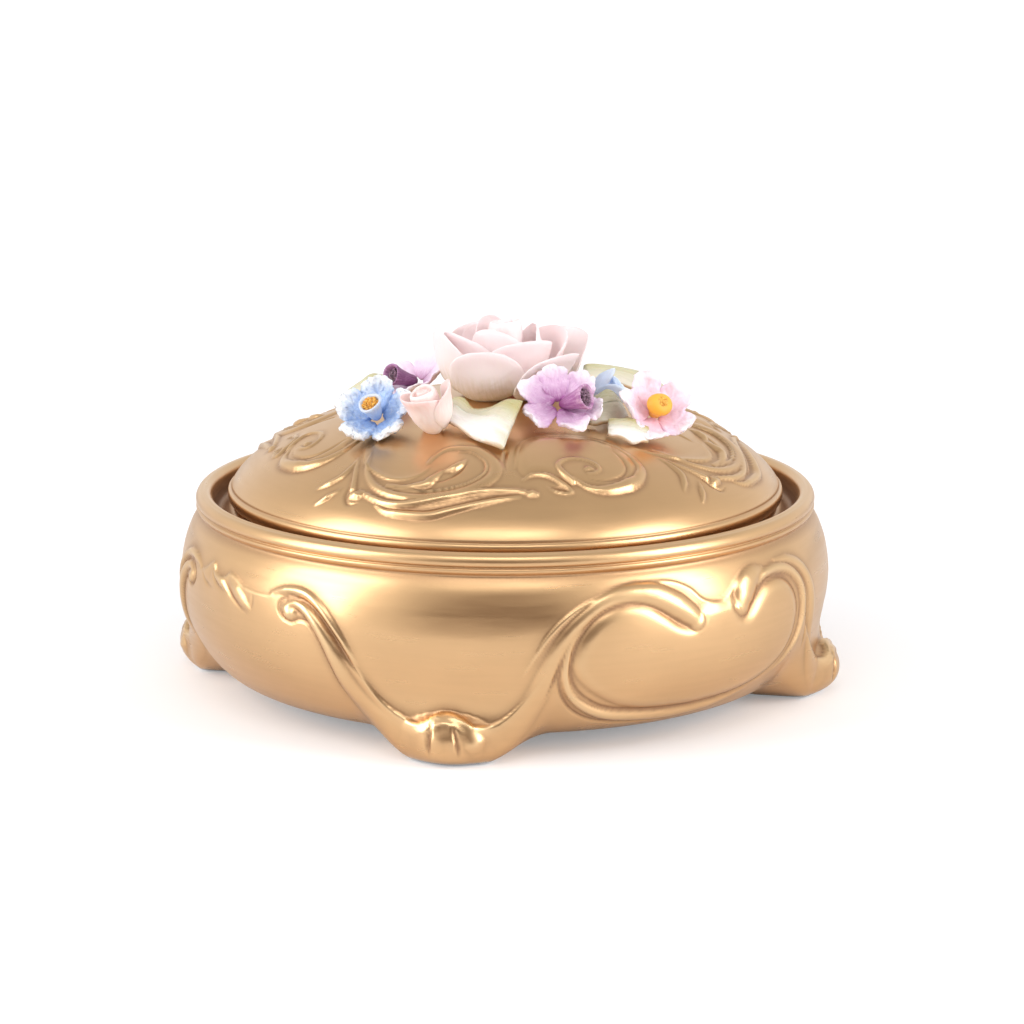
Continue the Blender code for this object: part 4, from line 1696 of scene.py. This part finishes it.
ROSE_PINK = PaintedPetal(
    "rose_bisque", "rose_pink", (0.88, 0.54, 0.57), (0.93, 0.78, 0.78), (0.93, 0.83, 0.82),
    (0.93, 0.77, 0.78), brushed=0.4, grainy=0.1, gloss=0.46,
)
ROSE_OUTER = PaintedPetal(
    "rose_outer_bisque", "rose_pink", (0.66, 0.62, 0.46), (0.93, 0.82, 0.80), (0.93, 0.86, 0.85),
    (0.92, 0.76, 0.77), brushed=0.4, grainy=0.1, gloss=0.46, root_reach=0.66,
)
BUD_PINK = PaintedPetal(
    "bud_bisque", "bud_pink", (0.90, 0.78, 0.74), (0.93, 0.80, 0.77), (0.92, 0.74, 0.71),
    (0.92, 0.66, 0.64), brushed=0.4, grainy=0.12, gloss=0.46,
)
BLUE_PETAL = PaintedPetal(
    "cornflower_brushwork", "pale_blue", (0.20, 0.34, 0.66), (0.48, 0.61, 0.84), (0.24, 0.40, 0.75),
    (0.86, 0.88, 0.90), brushed=0.75, grainy=0.75,
)
BLUE_TUBE = PaintedPetal(
    "blue_tube_brushwork", "pale_blue", (0.24, 0.38, 0.66), (0.55, 0.66, 0.86), (0.34, 0.48, 0.78),
    (0.80, 0.72, 0.58), brushed=0.5, grainy=0.6,
)
SKY_PETAL = PaintedPetal(
    "sky_brushwork", "pale_blue", (0.40, 0.52, 0.78), (0.56, 0.68, 0.89), (0.48, 0.61, 0.86),
    (0.68, 0.77, 0.91), brushed=0.4, grainy=0.2,
)
ORCHID_PETAL = PaintedPetal(
    "orchid_brushwork", "orchid_purple", (0.36, 0.10, 0.31), (0.71, 0.48, 0.67), (0.52, 0.25, 0.49),
    (0.88, 0.80, 0.85), brushed=0.55, grainy=0.45,
)
ORCHID_TUBE = PaintedPetal(
    "orchid_tube_brushwork", "plum", (0.20, 0.04, 0.15), (0.34, 0.11, 0.29), (0.58, 0.34, 0.52),
    (0.72, 0.50, 0.64), brushed=0.55, grainy=0.5,
)
BLUSH_PETAL = PaintedPetal(
    "blush_brushwork", "blush_pink", (0.76, 0.42, 0.52), (0.88, 0.68, 0.80), (0.80, 0.48, 0.68),
    (0.90, 0.81, 0.85), brushed=0.4, grainy=0.5,
)
LILAC_PETAL = PaintedPetal(
    "lilac_brushwork", "lilac", (0.58, 0.30, 0.50), (0.84, 0.68, 0.82), (0.74, 0.52, 0.72),
    (0.88, 0.79, 0.86), brushed=0.4, grainy=0.4,
)
PLUM_TUBE = PaintedPetal(
    "plum_tube_brushwork", "plum", (0.14, 0.04, 0.11), (0.22, 0.08, 0.20), (0.40, 0.18, 0.36),
    (0.52, 0.28, 0.48), brushed=0.45, grainy=0.5,
)
ORANGE_TUBE = PaintedPetal(
    "orange_tube_brushwork", "orange", (0.78, 0.44, 0.16), (0.88, 0.42, 0.03), (0.84, 0.36, 0.02),
    (0.86, 0.45, 0.06), brushed=0.5, grainy=0.3,
)
ORANGE_POLLEN = GrainyGlaze("orange_pollen", "orange", (0.90, 0.52, 0.10), (0.62, 0.24, 0.02))
PLUM_POLLEN = GrainyGlaze("plum_pollen", "dark_plum", (0.34, 0.20, 0.28), (0.035, 0.012, 0.025))
CREAM_LEAF = LeafGlaze("cream_leaf", "leaf_green")
OLIVE_LEAF = LeafGlaze("olive_leaf", "leaf_green", brushed=(0.50, 0.46, 0.20), cover=0.85)
# A leaf with its white darkened as painted shade for the shadowed gap beside the purple blossom,
# over olive brushwork.
SHADE_DARKENED_LEAF = LeafGlaze(
    "painted_shade_olive_leaf", "leaf_green", white=(0.62, 0.57, 0.46), brushed=(0.38, 0.35, 0.20), cover=0.7
)


PUFFY = Petal(
    ((1.2, 0.2), (4.2, 0.2), (7.2, 1.8), (8.6, 4.8)), 10.4, (5.0, 6.0), 0.42, 3.0, 0.2, roll=0.3,
    wave=0.6, stray=1.1, thick=1.4, lip_thick=1.8, crumble=1.1,
)
FRILLED = Petal(
    ((1.2, 0.2), (4.4, 0.0), (8.0, 0.8), (9.8, 3.0)), 9.8, (6.5, 7.5), 0.45, 7.0, 0.18, roll=0.2,
    wave=0.8, stray=1.0, lip_thick=1.2, crumble=0.7,
)
SOFT = Petal(
    ((1.2, 0.2), (4.4, 0.3), (7.2, 1.6), (8.8, 4.6)), 10.6, (6.0, 7.0), 0.42, 5.0, 0.17, roll=0.4,
    wave=0.9, stray=0.9, lip_thick=1.1, crumble=0.7,
)
BELL = Petal(
    ((1.0, 0.2), (3.0, 0.5), (3.5, 3.2), (3.8, 6.6)), 5.8, (3.2, 4.0), 0.25, roll=0.5, wave=0.3,
    lip_thick=0.9, crumble=0.25,
)
SMALL = Petal(
    ((1.4, 0.2), (3.8, 0.2), (6.2, 1.0), (7.6, 3.4)), 9.4, (5.5, 7.0), 0.5, 3.0, 0.08, roll=0.4,
    wave=0.4, lip_thick=0.9, crumble=0.35,
)


@dataclass
class Flower:
    """One applied flower. Every petal of it is a piece of its own."""

    name: str
    stand: Stand
    lid: Lid
    shop: Workshop
    seed: float = 1.0

    def add_piece(
        self,
        node: str,
        points: Array,
        faces: Array,
        finish: PaintedPetal | GrainyGlaze,
        places: Array | None = None,
        lean: Pair = (0.0, 0.0),
    ) -> None:
        """Adds one piece of the flower.

        Args:
            node: The CAD node that it stands for.
            points: Its points about the flower's own axis.
            faces: Its faces.
            finish: Its finish.
            places: Each point's place on it, for brushwork.
            lean: How far it leans off that axis and towards where, in degrees.
        """
        matrix = self.stand.matrix(self.lid)
        if lean != (0.0, 0.0):
            matrix = matrix @ leaning(*lean)
        self.shop.add(
            f"{node}_fired", moved(points, matrix), faces, self.shop.finish(finish), finish.slot,
            LID_BODY, [node], places=places,
        )

    def add_petal(
        self, node: str, petal: Petal, turn: float, finish: PaintedPetal, seed: float
    ) -> None:
        """Adds one petal, turned about the axis by turn degrees."""
        points, faces, places = petal.build(turn, seed)
        self.add_piece(node, points, faces, finish, places)

    def add_heart(
        self, outline: Sequence[Pair], finish: PaintedPetal, wobble: float, slant: float
    ) -> None:
        """Adds the hand-rolled heart."""
        points, faces, places = lofted(outline, HEART_SIDES, wobble, slant, self.seed)
        self.add_piece(f"{self.name}_heart", points, faces, finish, places)


@dataclass
class Rose(Flower):
    """The large rose in the middle."""

    def build(self) -> None:
        """Builds the rolled heart and three rings of petals."""
        heart = (
            (0.3, 0.4), (3.0, 0.8), (4.2, 4.0), (4.6, 9.0), (4.5, 13.4), (4.0, 16.2), (3.4, 17.0),
            (2.9, 16.2), (2.6, 14.2), (2.2, 13.8), (2.0, 15.6), (1.6, 17.2), (0.9, 17.4),
            (0.3, 16.2),
        )
        self.add_heart(heart, ROSE_PINK, 0.12, 0.7)
        inners = ((-14, 0.0, -2.2, 17.5), (108, 0.4, -2.0, 17.0), (228, 0.2, -2.4, 17.0))
        for n, (turn, reach, tall, width) in enumerate(inners):
            inner = Petal(
                ((5.0, 1.6), (8.4, 5.0), (8.6 + reach, 13.0), (6.3 + reach, 18.2 + tall)), width,
                (6.0, 7.0), 0.2, roll=0.5, wave=0.5, swirl=1.2, square=0.85, thick=0.9,
                lip_thick=0.45, crumble=0.2,
            )
            self.add_petal(f"rose_inner_petal_{n + 1}", inner, turn, ROSE_PINK, 1.3 * n)
        middles = (
            (34, 1.0, -2.0, 23.0), (112, 0.8, -1.8, 22.0), (-152, 0.0, -2.4, 22.0),
            (-50, 0.8, -1.6, 21.5),
        )
        for n, (turn, reach, tall, width) in enumerate(middles):
            middle = Petal(
                ((6.4, 1.2), (11.6, 3.0), (12.6 + reach, 10.5), (11.8 + reach, 17.0 + tall)), width,
                (9.0, 11.5), 0.2, roll=0.7, wave=0.7, swirl=1.4, peak=0.04 if n % 2 else 0.0,
                square=0.85, lip_thick=0.45, crumble=0.22,
            )
            self.add_petal(f"rose_middle_petal_{n + 1}", middle, turn, ROSE_PINK, 2.1 + 1.7 * n)
        outers = (
            (-8, -1.6, -2.0, 20.5), (54, 0.4, -2.6, 25.0), (126, 0.2, -2.0, 27.0),
            (-150, -0.6, -1.6, 27.0), (-64, -1.4, 0.4, 25.5),
        )
        for n, (turn, reach, tall, width) in enumerate(outers):
            outer = Petal(
                (
                    (8.0, 0.6), (14.4, 1.2), (16.8 + reach, 7.0 + 0.4 * tall),
                    (17.6 + reach, 15.0 + tall),
                ),
                width, (14.0, 17.5), 0.3, roll=0.7, wave=0.9, swirl=1.5,
                peak=0.04 if n in (1, 4) else 0.0, square=0.85, thick=1.1, lip_thick=0.5,
                crumble=0.25,
            )
            self.add_petal(f"rose_outer_petal_{n + 1}", outer, turn, ROSE_OUTER, 0.6 + 1.1 * n)


@dataclass
class Rosebud(Flower):
    """The furled bud beside the rose."""

    def build(self) -> None:
        """Builds the rolled heart and its two wraps."""
        heart = (
            (0.3, 0.0), (1.2, 0.2), (2.4, 3.0), (3.1, 6.5), (3.3, 9.2), (3.1, 10.6), (2.6, 11.1),
            (2.3, 10.6), (2.1, 9.6), (1.7, 9.4), (1.5, 10.4), (1.1, 11.0), (0.7, 10.6), (0.5, 9.8),
            (0.2, 9.7),
        )
        self.add_heart(heart, BUD_PINK, 0.10, 0.5)
        wrap = Petal(
            ((1.4, 0.0), (3.8, 2.0), (4.6, 6.6), (4.3, 11.2)), 19.0, (3.0, 4.4), 0.35, roll=0.6,
            wave=0.3, swirl=0.7, square=0.85, thick=0.9, lip_thick=0.6, crumble=0.14,
        )
        self.add_petal("rosebud_wrap_1", wrap, -40, BUD_PINK, 0.4)
        wing = Petal(
            ((1.4, 0.2), (4.2, 1.8), (5.4, 6.0), (5.6, 10.2)), 14.0, (3.6, 5.4), 0.4, roll=0.5,
            wave=0.3, swirl=-0.9, peak=0.08, square=0.85, thick=0.9, lip_thick=0.6, crumble=0.14,
        )
        self.add_petal("rosebud_wrap_2", wing, 96, BUD_PINK, 2.6)


@dataclass
class Blossom(Flower):
    """An open flower: petals at these turns round a rolled tube that may hold pollen.

    slant is how far the tube's mouth slopes. The tube leans tube_tilt degrees off the flower's
    axis, and a domed one is closed at its top.
    """

    petal: Petal = PUFFY
    turns: tuple[float, ...] = ()
    petal_finish: PaintedPetal = BLUE_PETAL
    tube_finish: PaintedPetal = BLUE_TUBE
    pollen_finish: GrainyGlaze | None = ORANGE_POLLEN
    slant: float = 0.6
    tube_radius: float = 2.5
    tube_height: float = 7.0
    tube_tilt: float = 0.0
    tube_towards: float = 0.0
    domed: bool = False

    def build(self) -> None:
        """Builds the petals, the tube and the pollen."""
        for n, turn in enumerate(self.turns):
            seed = self.seed + 1.9 * n
            self.add_petal(f"{self.name}_petal_{n + 1}", self.petal, turn, self.petal_finish, seed)
        r, h = self.tube_radius, self.tube_height
        if self.domed:
            tube = (
                (0.2, 0.1), (1.3, 0.2), (1.5, 0.3 * h), (0.7 * r, 0.46 * h), (0.97 * r, 0.6 * h),
                (1.04 * r, 0.78 * h), (0.86 * r, 0.96 * h), (0.5 * r, 1.05 * h), (0.2, 1.07 * h),
            )
        else:
            tube = (
                (0.2, 0.5), (0.8, 0.55), (1.4, 0.22 * h), (0.66 * r, 0.42 * h),
                (0.86 * r, 0.76 * h), (1.08 * r, 0.98 * h), (1.04 * r, 1.05 * h),
                (0.84 * r, 1.0 * h), (0.7 * r, 0.84 * h), (0.6 * r, 0.72 * h), (0.2, 0.68 * h),
            )
        lean = (self.tube_tilt, self.tube_towards)
        points, faces, places = lofted(tube, TUBE_SIDES, 0.06, self.slant, self.seed)
        self.add_piece(f"{self.name}_tube", points, faces, self.tube_finish, places, lean)
        if self.pollen_finish:
            centre = np.array([0.0, 0.0, (0.84 if self.domed else 0.78) * h + 0.3])
            spread = (0.5 if self.domed else 0.72) * r
            points, faces = grains(centre, spread, 0.2 * h, 60, 0.34, self.seed)
            self.add_piece(f"{self.name}_pollen", points, faces, self.pollen_finish, lean=lean)


@dataclass(frozen=True)
class Leaf:
    """A leaf laid on the dome between two edges, with its middle arched up off the lid.

    near and far hold (x, y, height above the dome) at stations along the leaf. wave is how far its
    lips rise and fall.
    """

    name: str
    near: tuple[Triple, ...]
    far: tuple[Triple, ...]
    arch: float = 1.2
    finish: LeafGlaze = CREAM_LEAF
    wave: float = 0.4

    def build(self, lid: Lid, shop: Workshop) -> None:
        """Builds the leaf with its midrib and wavy lip.

        Args:
            lid: The lid it lies on.
            shop: Where the piece is made.
        """
        rows, columns = 40, 31
        edges = []
        for edge in (self.near, self.far):
            edges.append(resampled(smooth_path(np.array(edge, float), 16), rows))
        u = np.linspace(0, 1, columns)[None, :, None]
        v = np.linspace(0, 1, rows)[:, None, None]
        sheet = edges[0][:, None] * (1 - u) + edges[1][:, None] * u
        across = 2 * u - 1
        rise = sheet[..., 2:] + 0.45 + self.arch * (1 - across**2) * np.sin(math.pi * v) ** 0.6
        ripple = np.sin(11.0 * v + 2.0 * across) * np.sin(math.pi * v) ** 0.5
        rise = rise + self.wave * across**2 * ripple
        rise = rise - 0.4 * np.exp(-((across / 0.1) ** 2)) * np.sin(math.pi * v) ** 0.5
        height = lid.dome_height(np.hypot(sheet[..., :1], sheet[..., 1:2])) + rise
        middle = np.concatenate([sheet[..., :2], height], -1)
        seed = sheet[0, 0, 0]
        points, faces, places = thick_sheet(middle, 1.0, 0.14, seed)
        shop.add(
            f"{self.name}_fired", points, faces, shop.finish(self.finish), self.finish.slot,
            LID_BODY, [self.name], places=places,
        )


@dataclass
class Bouquet:
    """Everything applied to the lid."""

    lid: Lid
    shop: Workshop

    def build(self) -> None:
        """Builds the flowers and the leaves."""
        on = (self.lid, self.shop)
        Rose("rose", Stand((0.0, 0.0), 0.0, 4, 10), *on, 0.7).build()
        Rosebud("rosebud", Stand((-10.4, -28.8), 0.0, 30, -30), *on, 1.9).build()
        Blossom(
            "blue_blossom", Stand((-24.8, -25.5), 2.5, 44, -14), *on, 1.1, PUFFY,
            (34, 104, 178, 250, 322), slant=0.8, tube_radius=2.7, tube_height=6.2,
        ).build()
        Blossom(
            "purple_blossom", Stand((16.0, -21.2), 4.0, 40, 22), *on, 2.4, FRILLED,
            (36, 88, 150, 205, 262, 322), ORCHID_PETAL, ORCHID_TUBE, PLUM_POLLEN, 0.8, 2.8, 8.4,
            40.0, 78.0,
        ).build()
        Blossom(
            "pink_blossom", Stand((36.4, -13.2), 4.0, 46, 34), *on, 3.2, SOFT,
            (4, 78, 150, 220, 290), BLUSH_PETAL, ORANGE_TUBE, ORANGE_POLLEN, 0.3, 2.8, 5.4,
            domed=True,
        ).build()
        Blossom(
            "lilac_blossom", Stand((-20.4, -1.0), 3.2, 30, -40), *on, 4.5, SMALL,
            (10, 84, 152, 226, 296), LILAC_PETAL, PLUM_TUBE, PLUM_POLLEN, 0.7, 2.3, 7.4,
            40.0, -56.0,
        ).build()
        Blossom(
            "sky_blossom", Stand((21.6, -4.2), 2.2, 62, 100), *on, 5.1, BELL,
            (20, 92, 164, 236, 308), SKY_PETAL, SKY_PETAL, None, 0.4, 1.9, 6.0,
        ).build()
        for leaf in (
            Leaf(
                "front_leaf",
                (
                    (-9.9, -25.7, 1.6), (-7.8, -29.6, 1.0), (-4.7, -32.5, 0.6),
                    (-1.6, -35.0, 0.4), (1.9, -38.0, 0.4), (6.4, -40.3, 0.4),
                ),
                (
                    (-9.3, -23.4, 3.4), (-5.8, -23.4, 4.4), (-2.6, -25.4, 2.2),
                    (1.6, -25.4, 2.6), (5.0, -24.8, 5.0), (8.6, -26.6, 5.6),
                ),
                1.8, wave=0.35,
            ),
            # Grey-olive leaf whose darker white is painted shade beside the purple blossom.
            Leaf(
                "purple_side_leaf",
                ((22.8, -21.4, 0.4), (26.4, -19.6, 0.3), (29.0, -15.8, 0.3), (30.4, -11.6, 0.4)),
                ((20.6, -16.6, 3.4), (23.8, -14.0, 5.2), (26.0, -10.8, 5.2), (27.0, -7.6, 3.6)),
                1.6, SHADE_DARKENED_LEAF, 0.5,
            ),
            Leaf(
                "pink_side_leaf",
                ((27.4, -24.8, 0.4), (30.4, -25.4, 0.3), (33.6, -25.0, 0.3), (36.4, -23.0, 0.4)),
                ((27.0, -20.6, 2.0), (30.0, -19.4, 2.6), (33.2, -18.8, 2.6), (36.0, -18.4, 2.0)),
                1.0,
            ),
            Leaf(
                "back_left_leaf", ((-40.6, 9.6, 0.4), (-36.0, 8.6, 0.6), (-30.4, 6.0, 0.8)),
                ((-40.0, 13.4, 2.6), (-35.0, 14.6, 4.6), (-29.0, 12.6, 4.0)), 1.0, OLIVE_LEAF, 0.4,
            ),
            Leaf(
                "back_right_leaf",
                ((15.4, 15.6, 2.0), (23.0, 19.0, 1.6), (31.0, 19.6, 1.0), (37.4, 15.4, 0.4)),
                ((15.4, 20.4, 5.0), (23.8, 26.0, 5.6), (32.0, 26.4, 4.4), (38.6, 20.2, 1.6)), 1.4,
                OLIVE_LEAF, 0.4,
            ),
            Leaf(
                "back_leaf",
                ((-1.0, 17.5, 1.4), (-5.4, 24.0, 1.2), (-5.6, 30.5, 0.9), (-0.5, 39.5, 0.4)),
                ((1.0, 17.5, 1.4), (5.4, 24.0, 1.2), (5.6, 30.5, 0.9), (0.5, 39.5, 0.4)), 1.4,
            ),
        ):
            leaf.build(*on)


@dataclass
class Studio:
    """The pale floor, the soft lights and the camera. floor_half is in metres."""

    target: Triple = (1.55, 0.26, 39.5)
    azimuth: float = 9.5
    elevation: float = 12.81
    distance: float = 798.4
    lens: float = 120.04
    floor_half: float = 6.0
    lit_height: float = 40.0

    def direction(self, azimuth: float, elevation: float) -> Vector:
        """Finds the unit vector towards a place in the studio.

        Args:
            azimuth: The place's azimuth, in degrees.
            elevation: Its elevation, in degrees.

        Returns:
            The vector.
        """
        a, e = math.radians(azimuth), math.radians(elevation)
        return Vector((math.sin(a) * math.cos(e), -math.cos(a) * math.cos(e), math.sin(e)))

    def aim(self, thing: bpy.types.Object, target: Vector, away: Vector, far: float) -> None:
        """Sets a camera or lamp at a distance from its target, facing it.

        Args:
            thing: The camera or lamp.
            target: What it faces, in millimetres.
            away: The unit vector from the target towards it.
            far: The distance, in millimetres.
        """
        thing.location = (target + away * far) * METRES
        thing.rotation_mode = "QUATERNION"
        thing.rotation_quaternion = (-away).to_track_quat("-Z", "Y")

    def build(self) -> None:
        """Sets up the camera, the sweep and the lights."""
        bpy.context.scene.view_settings.view_transform = "Standard"
        self.add_camera()
        self.add_sweep()
        self.add_surround()
        self.add_light("left_softbox", -60, 24, 900, (480, 820), 4.8)
        self.add_light("right_softbox", 73, 22, 900, (380, 740), 4.6)
        self.add_light("front_top_softbox", 8, 56, 1000, (620, 300), 1.4)
        self.add_light("flower_fill", 0, 30, 900, (700, 500), 0.9, False)

    def add_camera(self) -> None:
        """Adds the camera."""
        camera = bpy.data.objects.new("camera", bpy.data.cameras.new("camera"))
        away = self.direction(self.azimuth, self.elevation)
        self.aim(camera, Vector(self.target), away, self.distance)
        camera.data.lens = self.lens
        camera.data.sensor_width = 36.0
        camera.data.clip_start, camera.data.clip_end = 0.01, 20.0
        bpy.context.scene.collection.objects.link(camera)
        bpy.context.scene.camera = camera

    def add_sweep(self) -> None:
        """Adds the floor."""
        mesh = bpy.data.meshes.new("floor")
        half = self.floor_half
        corners = [(-half, -half, 0), (half, -half, 0), (half, half, 0), (-half, half, 0)]
        mesh.from_pydata(corners, [], [(0, 1, 2, 3)])
        floor = bpy.data.objects.new("floor", mesh)
        shader = Shader("white_paper")
        mottle = shader.noise(shader.place(), 40.0)
        shader.colour(shader.mix(mottle, (0.76, 0.76, 0.785), (0.78, 0.78, 0.80)))
        reach = shader.add("VectorMath", operation="LENGTH")
        shader.feed(reach, 0, shader.place())
        glow = shader.span(reach.outputs["Value"], 0.10, 1.2, 0.22, 0.60)
        seen = shader.add("LightPath").outputs["Is Camera Ray"]
        shader.feed(shader.surface, "Emission Strength", shader.math("MULTIPLY", glow, seen))
        shader.set(Roughness=0.75, Emission_Color=(1.0, 1.0, 1.0, 1.0))
        mesh.materials.append(shader.material)
        bpy.context.scene.collection.objects.link(floor)

    def add_surround(self) -> None:
        """Lights the room: pale all round, dimmer overhead, and dark beyond the camera."""
        world = bpy.data.worlds.new("studio")
        world.use_nodes = True
        tree = world.node_tree

        def add(kind: str, **settings: object) -> bpy.types.Node:
            """Adds one node to the surround.

            Args:
                kind: What the node is, without the words ShaderNode.
                **settings: Its settings by name.

            Returns:
                The node.
            """
            node = tree.nodes.new(f"ShaderNode{kind}")
            for name, value in settings.items():
                setattr(node, name, value)
            return node

        def join(source: Socket, target: Socket) -> None:
            """Links two sockets."""
            tree.links.new(source, target)

        split = add("SeparateXYZ")
        join(add("TexCoord").outputs["Generated"], split.inputs[0])
        overhead = add("ValToRGB")
        join(split.outputs["Z"], overhead.inputs["Fac"])
        stops = overhead.color_ramp.elements
        stops[0].position, stops[0].color = 0.0, (1.0, 1.0, 1.0, 1.0)
        stops[1].position, stops[1].color = 1.0, (0.56, 0.55, 0.54, 1.0)
        middle = stops.new(0.75)
        middle.color = (0.74, 0.73, 0.72, 1.0)
        ahead = add("VectorMath", operation="DOT_PRODUCT")
        join(add("TexCoord").outputs["Generated"], ahead.inputs[0])
        ahead.inputs[1].default_value = self.direction(self.azimuth, 6)
        dim = add("MapRange", interpolation_type="SMOOTHSTEP")
        join(ahead.outputs["Value"], dim.inputs["Value"])
        dim.inputs["From Min"].default_value, dim.inputs["From Max"].default_value = 0.76, 0.91
        mixed = add("Mix", data_type="RGBA")
        join(dim.outputs["Result"], mixed.inputs[0])
        join(overhead.outputs["Color"], mixed.inputs[6])
        mixed.inputs[7].default_value = (0.25, 0.20, 0.18, 1.0)
        seen = add("Mix", data_type="RGBA")
        join(add("LightPath").outputs["Is Camera Ray"], seen.inputs[0])
        join(mixed.outputs[2], seen.inputs[6])
        seen.inputs[7].default_value = (1.0, 1.0, 1.0, 1.0)
        join(seen.outputs[2], tree.nodes["Background"].inputs["Color"])
        bpy.context.scene.world = world

    def add_light(
        self,
        name: str,
        azimuth: float,
        elevation: float,
        far: float,
        size: Pair,
        watts: float,
        mirrored: bool = True,
    ) -> None:
        """Adds one soft panel of light that faces the box.

        Args:
            name: The light's name.
            azimuth: Where it stands, in degrees.
            elevation: How high it stands, in degrees.
            far: Its distance, in millimetres.
            size: Its width and height, in millimetres.
            watts: Its power.
            mirrored: Whether it shows in shiny surfaces.
        """
        light = bpy.data.lights.new(name, "AREA")
        light.shape = "RECTANGLE"
        light.size, light.size_y = size[0] * METRES, size[1] * METRES
        light.energy = watts
        lamp = bpy.data.objects.new(name, light)
        away = self.direction(azimuth, elevation)
        self.aim(lamp, Vector((0, 0, self.lit_height)), away, far)
        lamp.visible_glossy = mirrored
        bpy.context.scene.collection.objects.link(lamp)


def main() -> None:
    """Builds the box, its bouquet and the studio."""
    logging.basicConfig(level=logging.INFO, format="%(name)s %(message)s")
    noise.seed_set(CLAY_SEED)
    Studio().build()
    shop = Workshop()
    lid = Lid()
    Bowl().build(shop)
    lid.build(shop)
    Bouquet(lid, shop).build()


if __name__ == "__main__":
    main()
